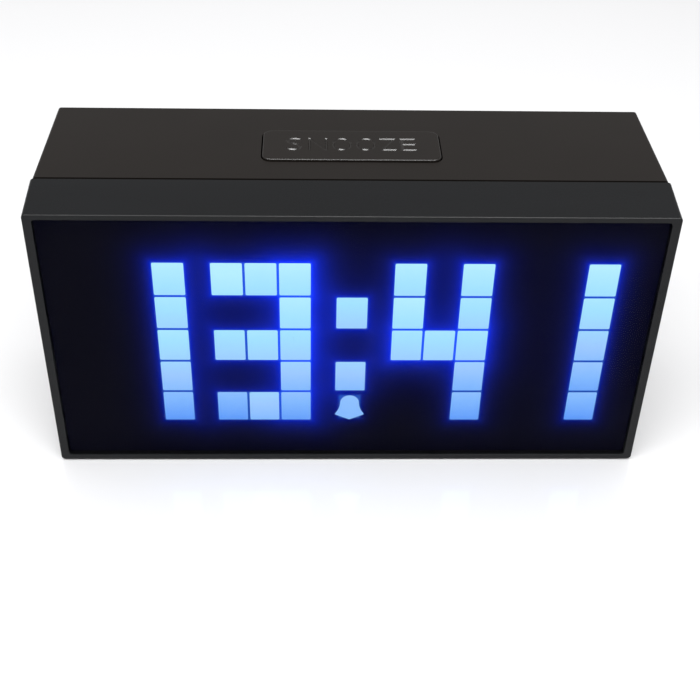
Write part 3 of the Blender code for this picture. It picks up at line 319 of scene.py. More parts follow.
@dataclass(frozen=True)
class Stroke:
    """A straight run of lit blocks, as the rectangle that it fills on the display."""

    left: float
    right: float
    low: float
    high: float
    weight: float = 1.0

    def distance(self, x: Wire, z: Wire) -> Wire:
        """How far a point is outside the rectangle: the length of what it lies past each pair of sides."""
        past_x = (abs(x - (self.left + self.right) / 2) - (self.right - self.left) / 2).at_least(0.0)
        past_z = (abs(z - (self.low + self.high) / 2) - (self.high - self.low) / 2).at_least(0.0)
        return (past_x * past_x + past_z * past_z) ** 0.5


@dataclass(frozen=True)
class GlowingFilm(Finish):
    """The dark film round the lit blocks, with a painted blue glow: emission that stands in for the lamps'
    light spilling through it.

    The glow is base + near * exp(-d / near_reach), with d the distance to the nearest stroke, plus
    far * (sum over strokes of weight * exp(-d / far_reach)) ** crowding. It grows towards the film's top.
    Close to the blocks a paler painted light, rim * exp(-d / rim_reach), spreads past their edges.
    """

    strokes: tuple[Stroke, ...]
    middle_height: float
    behind: float
    name: str = "display_film_painted_glow"
    tint: Colour = (0.0016, 0.0014, 0.0022)
    glow: Colour = (0.004, 0.030, 1.0)
    base: float = 0.003
    near: float = 0.3136
    near_reach: float = 0.92 * MM
    far: float = 0.086
    far_reach: float = 6.2 * MM
    crowding: float = 2.3
    rise: float = 15.5
    rim_glow: Colour = (0.07, 0.36, 0.55)
    rim: float = 0.20
    rim_reach: float = 0.16 * MM
    cloud_size: float = 3.0 * MM
    fibre_size: float = 0.25 * MM
    fibre_depth: float = 0.004 * MM
    fibre_tint: Colour = (0.0024, 0.0022, 0.0032)

    def sockets(self, shader: Shader, place: Wire) -> dict[str, object]:
        """What the shader's sockets hold."""
        x, _, z = shader.axes(place)
        distances = [stroke.distance(x, z) for stroke in self.strokes]
        nearest = distances[0]
        crowd = (distances[0] * (-1 / self.far_reach)).exp() * self.strokes[0].weight
        for distance, stroke in zip(distances[1:], self.strokes[1:]):
            nearest = nearest.at_most(distance)
            crowd = crowd + (distance * (-1 / self.far_reach)).exp() * stroke.weight
        close = (nearest * (-1 / self.near_reach)).exp() * self.near
        wide = crowd**self.crowding * self.far
        # Painted glow: the emission grows towards the film's top, and lumps of noise vary it.
        upward = (z - self.middle_height) * self.rise + 1.0
        cloud = shader.noise(place, self.cloud_size, 3.0) * 0.16 + 0.92
        light = (close + wide) * upward * cloud + self.base
        rim = (nearest * (-1 / self.rim_reach)).exp() * self.rim
        leak = shader.scaled(self.rim_glow, rim)
        glow = shader.add(
            "ShaderNodeVectorMath", {"operation": "ADD"}, {0: shader.scaled(self.glow, light), 1: leak}
        )
        fibres = shader.noise(place, self.fibre_size, 2.0)
        return {
            "Base Color": shader.blend(fibres, opaque(self.tint), opaque(self.fibre_tint)),
            "Roughness": 0.55 + fibres * 0.1,
            "Specular IOR Level": 0.05,
            # Painted glow: emission on a film that is no lamp stands in for light from the blocks behind the
            # lens.
            "Emission Color": glow,
            "Emission Strength": 1 / self.behind,
            "Normal": shader.bump(fibres, self.fibre_depth, 0.5),
        }


@dataclass(frozen=True)
class LitBlock(Finish):
    """A block of light: pale cyan where its lamp drives it hard, deeper blue where it doesn't."""

    behind: float
    name: str = "lit_block"
    body: Colour = (0.02, 0.02, 0.03)
    cloud_size: float = 2.5 * MM
    stops: tuple[tuple[float, Colour], ...] = (
        (0.0, light_of(88, 150, 248)),
        (0.25, light_of(128, 183, 253)),
        (0.45, light_of(155, 200, 254)),
        (0.75, light_of(162, 225, 255)),
        (1.0, light_of(182, 238, 255)),
    )

    def sockets(self, shader: Shader, place: Wire) -> dict[str, object]:
        """What the shader's sockets hold. The piece's "drive" attribute says how hard each point is lit."""
        drive = shader.add("ShaderNodeAttribute", {"attribute_name": "drive"}, output="Fac")
        cloud = shader.noise(place, self.cloud_size, 3.0, 0.6)
        level = drive + (cloud - 0.5) * 0.06
        light = shader.add("ShaderNodeValToRGB", {"stops": self.stops}, {"Fac": level})
        return {
            "Base Color": opaque(self.body),
            "Roughness": 0.5 + (cloud - 0.5) * 0.1,
            "Specular IOR Level": 0.1,
            "Emission Color": light,
            "Emission Strength": 1 / self.behind,
        }


@dataclass(frozen=True)
class Rubber(Finish):
    """Moulded rubber: matt, with a dusty bloom and a fine grain."""

    name: str = "foot_rubber_moulded"
    colour: Colour = (0.018, 0.018, 0.019)
    bloom_colour: Colour = (0.05, 0.05, 0.05)
    bloom_size: float = 4 * MM
    grain_size: float = 0.2 * MM
    grain_depth: float = 0.01 * MM

    def sockets(self, shader: Shader, place: Wire) -> dict[str, object]:
        """What the shader's sockets hold."""
        bloom = shader.noise(place, self.bloom_size, 4.0, 0.6)
        grain = shader.noise(place, self.grain_size, 2.0)
        dusty = bloom.ramp(0.4, 0.8) * 0.5
        return {
            "Base Color": shader.blend(dusty, opaque(self.colour), opaque(self.bloom_colour)),
            "Roughness": 0.78 + (grain - 0.5) * 0.15,
            "Specular IOR Level": 0.35,
            "Normal": shader.bump(grain, self.grain_depth),
        }


@dataclass(frozen=True)
class WorkedMetal(Finish):
    """Bare or plated metal with fine drawn or turned lines and slight tarnish."""

    name: str
    colour: Colour
    roughness: float = 0.3
    line_size: float = 0.15 * MM
    draw: Colour = (1.0, 1.0, 0.05)
    line_depth: float = 0.003 * MM
    tarnish_size: float = 5 * MM
    tarnish_share: float = 0.78

    def sockets(self, shader: Shader, place: Wire) -> dict[str, object]:
        """What the shader's sockets hold."""
        lines = shader.noise(shader.stretched(place, self.draw), self.line_size, 3.0, 0.6)
        tarnish = shader.noise(place, self.tarnish_size, 4.0, 0.6)
        dull = opaque(tuple(c * self.tarnish_share for c in self.colour))
        return {
            "Base Color": shader.blend(tarnish.ramp(0.45, 0.8), opaque(self.colour), dull),
            "Metallic": 1.0,
            "Roughness": self.roughness + (lines - 0.5) * 0.2 + (tarnish - 0.5) * 0.1,
            "Normal": shader.bump(lines, self.line_depth, 0.6),
        }


@dataclass(frozen=True)
class SolderMask(Finish):
    """A circuit board's green lacquer over the raised lines of its copper tracks."""

    name: str = "solder_mask_green"
    colour: Colour = (0.012, 0.11, 0.045)
    track_pitch: float = 1.6 * MM
    track_height: float = 0.02 * MM
    patch_size: float = 9 * MM
    copper_share: float = 1.9

    def sockets(self, shader: Shader, place: Wire) -> dict[str, object]:
        """What the shader's sockets hold. Tracks are the crests of two crossed sine waves cut in patches."""
        x, _, z = shader.axes(place)
        turn = 2 * math.pi / self.track_pitch
        patch = shader.noise(place, self.patch_size, 0.0).ramp(0.49, 0.51)
        along = (x * turn).sine().ramp(0.3, 0.5)
        across = (z * turn).sine().ramp(0.3, 0.5)
        tracks = along * patch + across * (1 - patch)
        bright = opaque(tuple(c * self.copper_share for c in self.colour))
        return {
            "Base Color": shader.blend(tracks, opaque(self.colour), bright),
            "Roughness": 0.3 + tracks * 0.06,
            "Normal": shader.bump(tracks, self.track_height),
        }


@dataclass(frozen=True)
class PaleFloor(Finish):
    """A smooth pale table with a weak polish."""

    name: str = "pale_table"
    colour: Colour = (0.86, 0.86, 0.87)
    cloud_size: float = 0.25

    def sockets(self, shader: Shader, place: Wire) -> dict[str, object]:
        """What the shader's sockets hold."""
        cloud = shader.noise(place, self.cloud_size, 3.0)
        worn = tuple(c * 0.985 for c in self.colour)
        return {
            "Base Color": shader.blend(cloud, opaque(worn), opaque(self.colour)),
            "Roughness": 0.06 + cloud * 0.02,
            "IOR": 2.2,
        }


# ---- Surfaces -------------------------------------------------------------------------------------


class Facing(Enum):
    """Which way a piece's own +w axis, its outer side, points on the clock."""

    UP = Matrix.Identity(3)
    DOWN = Matrix(((1, 0, 0), (0, -1, 0), (0, 0, -1)))
    FRONT = Matrix(((1, 0, 0), (0, 0, -1), (0, 1, 0)))
    BACK = Matrix(((-1, 0, 0), (0, 0, 1), (0, 1, 0)))

    def carry(self, points: Array, origin: Sequence[float]) -> Array:
        """Points of a piece, turned to this side and moved to their origin."""
        return points @ np.array(self.value).T + np.array(origin)


@dataclass
class Surface:
    """Points and faces on their way to a mesh."""

    points: Array
    faces: list[Sequence[int]]

    def joined(self, other: "Surface") -> "Surface":
        """Both surfaces as one, each still closed by itself."""
        shifted = [[k + len(self.points) for k in face] for face in other.faces]
        return Surface(np.concatenate((self.points, other.points)), [*self.faces, *shifted])


def softened(corners: Sequence[Sequence[float]], cuts: Sequence[float] | float, steps: int = 5) -> Array:
    """Rounds the corners of a section, a row of points of any dimension.

    A corner P gives way to the parabola (1 - t)^2 A + 2 t (1 - t) P + t^2 B, where A and B lie one cut
    before and after it. The two ends of the row stay.

    Args:
        corners: the section's points.
        cuts: how much each corner takes off its two sides, or one value for all.
        steps: how many pieces each round corner has.
    Returns:
        The rounded section's points.
    """
    rows = np.array(corners, float)
    cut = np.broadcast_to(np.asarray(cuts, float), len(rows)).copy()
    cut[[0, -1]] = 0.0
    towards = np.diff(rows, axis=0)
    towards /= np.maximum(np.linalg.norm(towards, axis=1, keepdims=True), 1e-9)
    into = np.vstack((towards[:1], towards))
    out = np.vstack((towards, towards[-1:]))
    start = rows - into * cut[:, None]
    end = rows + out * cut[:, None]
    t = np.linspace(0, 1, steps + 1)[None, :, None]
    curve = (1 - t) ** 2 * start[:, None] + 2 * t * (1 - t) * rows[:, None] + t**2 * end[:, None]
    points = curve.reshape(-1, rows.shape[1])
    moved = np.linalg.norm(np.diff(points, axis=0), axis=1) > 1e-7
    return points[np.concatenate(([True], moved))]


def stacked(rings: Array, arc_steps: int = 8) -> Array:
    """Points round a stack of rounded rectangles.

    Each ring is (half u, half v, corner radius, w). Its point at turn t of a corner is the corner's
    middle, (+-(half u - radius), +-(half v - radius)), plus radius * (cos t, sin t).

    Args:
        rings: the stack, one row for each ring.
        arc_steps: how many pieces each corner has.
    Returns:
        A grid of points, one row for each ring.
    """
    quarter = np.linspace(0, math.pi / 2, arc_steps + 1)
    turns = (np.arange(4)[:, None] * math.pi / 2 + quarter).ravel()
    signs = np.repeat(np.array(((1, 1), (-1, 1), (-1, -1), (1, -1))), arc_steps + 1, axis=0)
    radius = rings[:, 2, None, None]
    middles = signs[None] * (rings[:, None, :2] - radius)
    flat = middles + radius * np.stack((np.cos(turns), np.sin(turns)), axis=-1)[None]
    height = np.broadcast_to(rings[:, 3, None, None], (*flat.shape[:2], 1))
    return np.concatenate((flat, height), axis=-1)


def turned(profile: Array, steps: int = 48) -> Array:
    """Points of a profile of (radius, w) rows turned round the w axis: radius * (cos t, sin t), w."""
    turns = np.linspace(0, 2 * math.pi, steps, endpoint=False)
    around = np.stack((np.cos(turns), np.sin(turns)), axis=-1)
    flat = profile[:, 0, None, None] * around[None]
    height = np.broadcast_to(profile[:, 1, None, None], (*flat.shape[:2], 1))
    return np.concatenate((flat, height), axis=-1)


def skinned(grid: Array, looped: bool = False) -> Surface:
    """A grid of points, closed round each row, as a surface.

    Face (i, j) joins points j and j + 1 of rows i and i + 1. The first and last rows are closed with a
    flat face each, or, on a looped grid, joined to each other.
    """
    rows, columns = grid.shape[:2]
    row = np.arange(rows if looped else rows - 1)[:, None]
    column = np.arange(columns)[None]
    after_row = (row + 1) % rows
    after_column = (column + 1) % columns
    corners = (
        row * columns + column,
        row * columns + after_column,
        after_row * columns + after_column,
        after_row * columns + column,
    )
    quads = np.stack(np.broadcast_arrays(*corners), axis=-1).reshape(-1, 4)
    faces = quads.tolist()
    if not looped:
        faces.append(list(range(columns))[::-1])
        faces.append(list(range((rows - 1) * columns, rows * columns)))
    return Surface(grid.reshape(-1, 3), faces)


def carried(
    section: Sequence[Sequence[float]], frame_size: Sequence[float], least: float, looped: bool = False
) -> Surface:
    """A section of (offset, w) points carried round a rounded rectangle.

    Args:
        section: the section's points. The offset is outwards from the rectangle.
        frame_size: the rectangle's half u, half v and corner radius.
        least: the smallest corner radius that a ring gets.
        looped: whether the section is closed.
    Returns:
        The solid.
    """
    offset, height = np.array(section).T
    half_u, half_v, radius = frame_size
    corner = np.maximum(radius + offset, least)
    rings = np.column_stack((half_u + offset, half_v + offset, corner, height))
    return skinned(stacked(rings), looped)


def thickened(outline: Array, low: float, high: float) -> Surface:
    """A flat outline of (u, v) points given thickness from w = low to w = high."""
    levels = [np.column_stack((outline, np.full(len(outline), level))) for level in (low, high)]
    return skinned(np.array(levels))


def slab(half_u: float, half_v: float, radius: float, low: float, high: float, soft: float) -> Surface:
    """A rounded rectangle given thickness, with its upper edge rounded and its lower edge eased."""
    ease = min(soft * 0.5, (high - low) * 0.3)
    inner = soft + 0.1 * MM
    corners = [(0.0, low + 2e-6), (0.0, low + ease * 2), (0.0, high), (-soft * 1.6, high)]
    rim = softened(corners, (0, 0, soft, 0))
    first = np.array([(-inner, low), (-ease, low)])
    profile = np.vstack((first, rim, [(-inner * 2.2, high)]))
    return carried(profile, (half_u, half_v, radius), 0.02 * MM)


def tube_of(profile: Sequence[Sequence[float]], cuts: Sequence[float] | float, steps: int = 48) -> Surface:
    """A turned solid from a profile of (radius, w) corners, top to bottom, with its corners rounded."""
    rows = softened(profile, cuts)
    rows[:, 0] = np.maximum(rows[:, 0], 1e-5)
    return skinned(turned(rows, steps))


def peg(radius: float, top: float, foot: float, edge: float) -> Surface:
    """A turned peg from w = top down to w = foot, with its foot's edge rounded."""
    return tube_of([(0.0, top), (radius, top), (radius, foot), (0.0, foot)], (0, 0, edge, 0), 24)


# ---- Meshes and their upkeep ----------------------------------------------------------------------


def placed(name: str, data: bpy.types.ID | None) -> bpy.types.Object:
    """A new object of the scene with this data."""
    holder = bpy.data.objects.new(name, data)
    bpy.context.scene.collection.objects.link(holder)
    return holder


def mend(mesh: bpy.types.Mesh, merge: float, outwards: bool = False) -> None:
    """Merges doubled points and, where asked, turns the faces outwards."""
    shape = bmesh.new()
    shape.from_mesh(mesh)
    bmesh.ops.remove_doubles(shape, verts=shape.verts, dist=merge)
    if outwards:
        bmesh.ops.recalc_face_normals(shape, faces=shape.faces)
    shape.to_mesh(mesh)
    shape.free()


class Workshop:
    """Turns surfaces into pieces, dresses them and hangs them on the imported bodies."""

    def __init__(self) -> None:
        """Starts with no materials made."""
        self.made: dict[str, bpy.types.Material] = {}

    def material_of(self, finish: Finish) -> bpy.types.Material:
        """A finish's material, made once."""
        if finish.name not in self.made:
            self.made[finish.name] = finish.material()
        return self.made[finish.name]

    def loose(
        self, name: str, surface: Surface, facing: Facing, origin: Sequence[float]
    ) -> bpy.types.Object:
        """A surface as an object in its place, with its faces pointing out.

        Args:
            name: the object's name.
            surface: its points and faces, in its own axes.
            facing: which way its outer side points.
            origin: where its own origin lies on the clock.
        Returns:
            The object, at the scene's origin.
        """
        mesh = bpy.data.meshes.new(name)
        mesh.from_pydata(facing.carry(surface.points, origin), [], surface.faces)
        solid = placed(name, mesh)
        mend(mesh, 1e-7, outwards=True)
        return solid

    @staticmethod
    def combine(target: bpy.types.Object, tools: Iterable[bpy.types.Object], operation: str) -> None:
        """Joins the tools to the target, or cuts them from it, and removes them."""
        tools = list(tools)
        for tool in tools:
            modifier = target.modifiers.new(tool.name, "BOOLEAN")
            modifier.operation = operation
            modifier.solver = "EXACT"
            modifier.object = tool
        graph = bpy.context.evaluated_depsgraph_get()
        shape = bpy.data.meshes.new_from_object(target.evaluated_get(graph))
        target.modifiers.clear()
        old = target.data
        target.data = shape
        shape.name = target.name
        bpy.data.meshes.remove(old)
        for tool in tools:
            bpy.data.objects.remove(tool, do_unlink=True)

    def show(
        self,
        piece: bpy.types.Object,
        finish: Finish,
        body: str,
        replaces: Sequence[str] = (),
        sharp: float = 32.0,
    ) -> bpy.types.Object:
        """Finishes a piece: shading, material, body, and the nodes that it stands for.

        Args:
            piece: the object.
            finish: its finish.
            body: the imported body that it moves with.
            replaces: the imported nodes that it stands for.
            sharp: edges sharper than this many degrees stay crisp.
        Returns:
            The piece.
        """
        piece.data.shade_smooth()
        piece.data.set_sharp_from_angle(angle=math.radians(sharp))
        even = piece.modifiers.new("even_normals", "WEIGHTED_NORMAL")
        even.keep_sharp = True
        piece.data.materials.clear()
        piece.data.materials.append(self.material_of(finish))
        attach(piece, body)
        if replaces:
            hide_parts(*replaces)
        LOG.info("%s: %d faces on %s", piece.name, len(piece.data.polygons), body)
        return piece

    def copy_of(self, node: str, name: str) -> bpy.types.Object:
        """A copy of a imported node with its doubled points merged, so that it can be shaded smooth."""
        source = frame["nodes"][node]
        mesh = source.data.copy()
        copy = placed(name, mesh)
        mesh.name = name
        mend(mesh, 2e-6)
        if "custom_normal" in mesh.attributes:
            mesh.attributes.remove(mesh.attributes["custom_normal"])
        return copy


# ---- The display ----------------------------------------------------------------------------------


@dataclass
class Display:
    """The lens, the glowing film behind it and the blocks of light on the film."""

    column_pitch: float = 8.86 * MM
    row_pitch: float = 10.84 * MM
    block_width: float = 8.18 * MM
    block_height: float = 10.12 * MM
    block_radius: float = 0.35 * MM
    rows: int = 5
    middle_row_height: float = 41.08 * MM
    digit_starts: tuple[float, ...] = (-7.4, -3.7, 1.7, 5.4)
    digits: tuple[str, ...] = ("1", "3", "4", "1")
    colon_rows: tuple[int, ...] = (1, 3)
    lens_thickness: float = 1.2 * MM
    lens_corner: float = 0.9 * MM
    lens_edge: float = 0.15 * MM
    film_gap: float = 0.1 * MM
    film_edge: float = 0.04 * MM
    film_thickness: float = 0.3 * MM
    block_rise: float = 0.07 * MM
    dark_rise: float = 0.01 * MM
    bell_top: float = 23.3 * MM
    bell_head: float = 2.62 * MM
    bell_rim: float = 16.5 * MM
    bell_half_width: float = 4.1 * MM
    bell_tip: float = 14.4 * MM
    bell_brim: float = 0.6 * MM
    bell_flare: float = 2.0 * MM
    bell_edge: float = 0.25 * MM
    bell_soft: float = 0.1 * MM
    bell_weight: float = 0.45
    bell_drive: tuple[float, float] = (0.27, 0.08)
    panel: SmokedPanel = SmokedPanel()
    figures: dict[str, tuple[str, ...]] = field(
        default_factory=lambda: {
            "1": ("..#", "..#", "..#", "..#", "..#"),
            "3": ("###", "..#", "###", "..#", "###"),
            "4": ("#.#", "#.#", "###", "..#", "..#"),
        }
    )
    row_drive: tuple[float, ...] = (0.83, 0.72, 0.66, 0.43, 0.16)
    drive_fall: float = 0.30
    lamp_spread: float = 0.05
    lamp_seed: int = 1341
    strong_lamps: dict[tuple[int, int, int], float] = field(
        default_factory=lambda: {
            (1, 0, 0): 0.13,
            (1, 1, 4): 0.27,
            (1, 2, 1): 0.08,
            (2, 0, 1): 0.10,
            (3, 2, 2): -0.17,
            (3, 2, 3): -0.14,
            (2, 2, 3): -0.06,
        }
    )

    def block_middle(self, column: float, row: int) -> tuple[float, float]:
        """A block's middle, as (x, z). Columns count pitches from the display's middle."""
        height = self.middle_row_height + ((self.rows - 1) / 2 - row) * self.row_pitch
        return column * self.column_pitch, height

    def blocks(self) -> list[tuple[int, int, int, float, bool]]:
        """Every square block: its digit, column and row, its place along the display, and if it is lit."""
        found = []
        for digit, (start, figure) in enumerate(zip(self.digit_starts, self.digits)):
            for row, marks in enumerate(self.figures[figure]):
                for column, mark in enumerate(marks):
                    found.append((digit, column, row, start + column, mark == "#"))
        middle = len(self.digit_starts)
        return found + [(middle, 0, row, 0.0, True) for row in self.colon_rows]

    def strokes(self) -> tuple[Stroke, ...]:
        """Runs of lit blocks: down each column, and along each row that isn't all in such columns."""
        lit = {(round(at, 3), row) for _, _, row, at, on in self.blocks() if on}
        upright = set()
        found = []
        for at in sorted({at for at, _ in lit}):
            run = sorted(row for spot, row in lit if spot == at)
            while run:
                last = 0
                while last + 1 < len(run) and run[last + 1] == run[last] + 1:
                    last += 1
                if last > 0:
                    found.append(self.stroke((at, run[0]), (at, run[last])))
                    upright |= {(at, row) for row in run[: last + 1]}
                run = run[last + 1 :]
        for row in range(self.rows):
            run = sorted(at for at, spot in lit if spot == row)
            while run:
                last = 0
                while last + 1 < len(run) and abs(run[last + 1] - run[last] - 1) < 0.01:
                    last += 1
                if any((at, row) not in upright for at in run[: last + 1]):
                    found.append(self.stroke((run[0], row), (run[last], row)))
                run = run[last + 1 :]
        half = self.bell_head * 1.1
        found.append(Stroke(-half, half, self.bell_tip + self.bell_brim, self.bell_top, self.bell_weight))
        return tuple(found)

    def stroke(self, first: tuple[float, int], last: tuple[float, int]) -> Stroke:
        """The rectangle from one block, as (place, row), to another below or to the right of it."""
        left, top = self.block_middle(*first)
        right, bottom = self.block_middle(*last)
        half_width, half_height = self.block_width / 2, self.block_height / 2
        count = 1 + round(abs(last[0] - first[0]) + abs(last[1] - first[1]))
        sides = left - half_width, right + half_width, bottom - half_height, top + half_height
        return Stroke(*sides, min(0.35 + 0.2 * count, 1.2))

    def block_surface(self, half_width: float, half_height: float, rise: float) -> tuple[Surface, Array]:
        """A block's flat pillow, and how high on the block each of its points lies, from -1 to 1."""
        soft = rise * 0.7
        rings = np.array(
            [
                (half_width, half_height, self.block_radius, 0.0),
                (half_width, half_height, self.block_radius, rise - soft),
                (half_width - soft, half_height - soft, self.block_radius - soft, rise),
                (half_width * 0.6, half_height * 0.6, self.block_radius, rise),
            ]
        )
        surface = skinned(stacked(rings, 3))
        return surface, surface.points[:, 1] / half_height

    def bell_outline(self, steps: int = 16) -> Array:
        """The bell sign: a half-round head, sides that flare along a parabola and a pointed rim.

        The flare's point at t is (1 - t)^2 A + 2 t (1 - t) P + t^2 B, from the head's side A to the rim's
        tip B, pulled towards P straight below the head's side.
        """
        turns = np.linspace(0, math.pi / 2, steps + 1)
        head_middle = self.bell_top - self.bell_head
        head = self.bell_head * np.column_stack((np.sin(turns), np.cos(turns))) + (0.0, head_middle)
        t = np.linspace(0, 1, steps + 1)[1:, None]
        start, end = head[-1], np.array((self.bell_half_width, self.bell_rim))
        pull = np.array((self.bell_head * 1.02, self.bell_rim + self.bell_flare))
        flare = (1 - t) ** 2 * start + 2 * t * (1 - t) * pull + t**2 * end
        corner = (self.bell_half_width * 0.97, self.bell_rim - self.bell_edge)
        rim = softened([end, corner, (0.0, self.bell_tip)], self.bell_soft)
        half = np.vstack((head, flare, rim[1:]))
        return np.vstack((half, half[-2:0:-1] * (-1, 1)))

    def build(self, shop: Workshop) -> None:
        """Makes the lens, the film, the blocks and the bell."""
        low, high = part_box("front_lens")
        middle = (low + high) / 2
        half_x, half_z = (high.x - low.x) / 2, (high.z - low.z) / 2
        lens = slab(half_x, half_z, self.lens_corner, -self.lens_thickness, 0.0, self.lens_edge)
        lens_piece = shop.loose("smoked_lens", lens, Facing.FRONT, (middle.x, low.y, middle.z))
        shop.show(lens_piece, self.panel, "case", ["front_lens"])
        film_front = low.y + self.lens_thickness + self.film_gap
        film = slab(half_x, half_z, self.lens_corner, -self.film_thickness, 0.0, self.film_edge)
        film_piece = shop.loose("display_film", film, Facing.FRONT, (middle.x, film_front, middle.z))
        glow = GlowingFilm(self.strokes(), self.middle_row_height, self.panel.through)
        shop.show(film_piece, glow, "case", ["diffuser_film"])
        self.build_blocks(shop, film_front, glow)
        self.build_bell(shop, film_front)

    def build_blocks(self, shop: Workshop, film_front: float, glow: GlowingFilm) -> None:
        """Makes the lit and the unlit blocks, each kind as one piece for each digit."""
        lamps = np.random.default_rng(self.lamp_seed)
        gathered: dict[str, tuple[Surface, Array]] = {}
        for digit, column, row, at, lit in self.blocks():
            x, z = self.block_middle(at, row)
            rise = self.block_rise if lit else self.dark_rise
            surface, height = self.block_surface(self.block_width / 2, self.block_height / 2, rise)
            surface.points = surface.points + np.array((x, z, 0.0))
            lamp = lamps.normal(0.0, self.lamp_spread) * 0.5
            lamp += self.strong_lamps.get((digit, column, row), 0.0)
            drive = self.row_drive[row] + lamp + height * self.drive_fall / 2
            place = "colon" if digit == len(self.digits) else f"digit_{digit + 1}"
            name = f"{place}_{'lit' if lit else 'dark'}_blocks"
            if name in gathered:
                before, drives = gathered[name]
                gathered[name] = before.joined(surface), np.concatenate((drives, drive))
            else:
                gathered[name] = surface, drive
        for name, (surface, drive) in gathered.items():
            piece = shop.loose(name, surface, Facing.FRONT, (0.0, film_front, 0.0))
            self.drive_mesh(piece, surface, drive)
            # Unlit blocks take the film's finish, with its painted glow.
            finish = LitBlock(self.panel.through) if "_lit_" in name else glow
            shop.show(piece, finish, "case")

    def build_bell(self, shop: Workshop, film_front: float) -> None:
        """Makes the bell sign that shows the alarm is set."""
        outline = self.bell_outline()
        surface = thickened(outline, 0.0, self.block_rise)
        piece = shop.loose("bell_sign", surface, Facing.FRONT, (0.0, film_front, 0.0))
        height = surface.points[:, 1]
        share = (height - height.min()) / (height.max() - height.min())
        low, rise = self.bell_drive
        self.drive_mesh(piece, surface, low + rise * share)
        shop.show(piece, LitBlock(self.panel.through), "case")

    @staticmethod
    def drive_mesh(piece: bpy.types.Object, surface: Surface, drive: Array) -> None:
        """Stores each point's drive on the mesh, whose points may have been merged and put in another order.

        A mesh point takes the drive of the surface point that lies nearest to it.
        """
        mesh = piece.data
        spots = np.empty(len(mesh.vertices) * 3, np.float32)
        mesh.vertices.foreach_get("co", spots)
        spots = spots.reshape(-1, 3)[:, [0, 2]]
        found = np.array([np.argmin(((surface.points[:, :2] - spot) ** 2).sum(axis=1)) for spot in spots])
        attribute = mesh.attributes.new("drive", "FLOAT", "POINT")
        attribute.data.foreach_set("value", drive[found].astype(np.float32))


# ---- Buttons, keys and door -----------------------------------------------------------------------


class Sign(Enum):
    """The plain sign on each setting key."""

    RING = "set_key"
    UP = "up_key"
    DOWN = "down_key"
    BELL = "alarm_key"

    def outline(self, size: float) -> Array:
        """The sign's outline, about this tall, as (u, v) points round its middle."""
        if self is Sign.RING:
            turns = np.linspace(0, 2 * math.pi, 24, endpoint=False)
            return np.column_stack((np.cos(turns), np.sin(turns))) * size * 0.4
        if self is Sign.BELL:
            flat = Display().bell_outline(8)
            flat = flat - (flat.max(axis=0) + flat.min(axis=0)) / 2
            return flat * size / np.ptp(flat[:, 1])
        turns = np.radians((90, 210, 330)) + (math.pi if self is Sign.DOWN else 0)
        return np.column_stack((np.cos(turns), np.sin(turns))) * size * 0.55


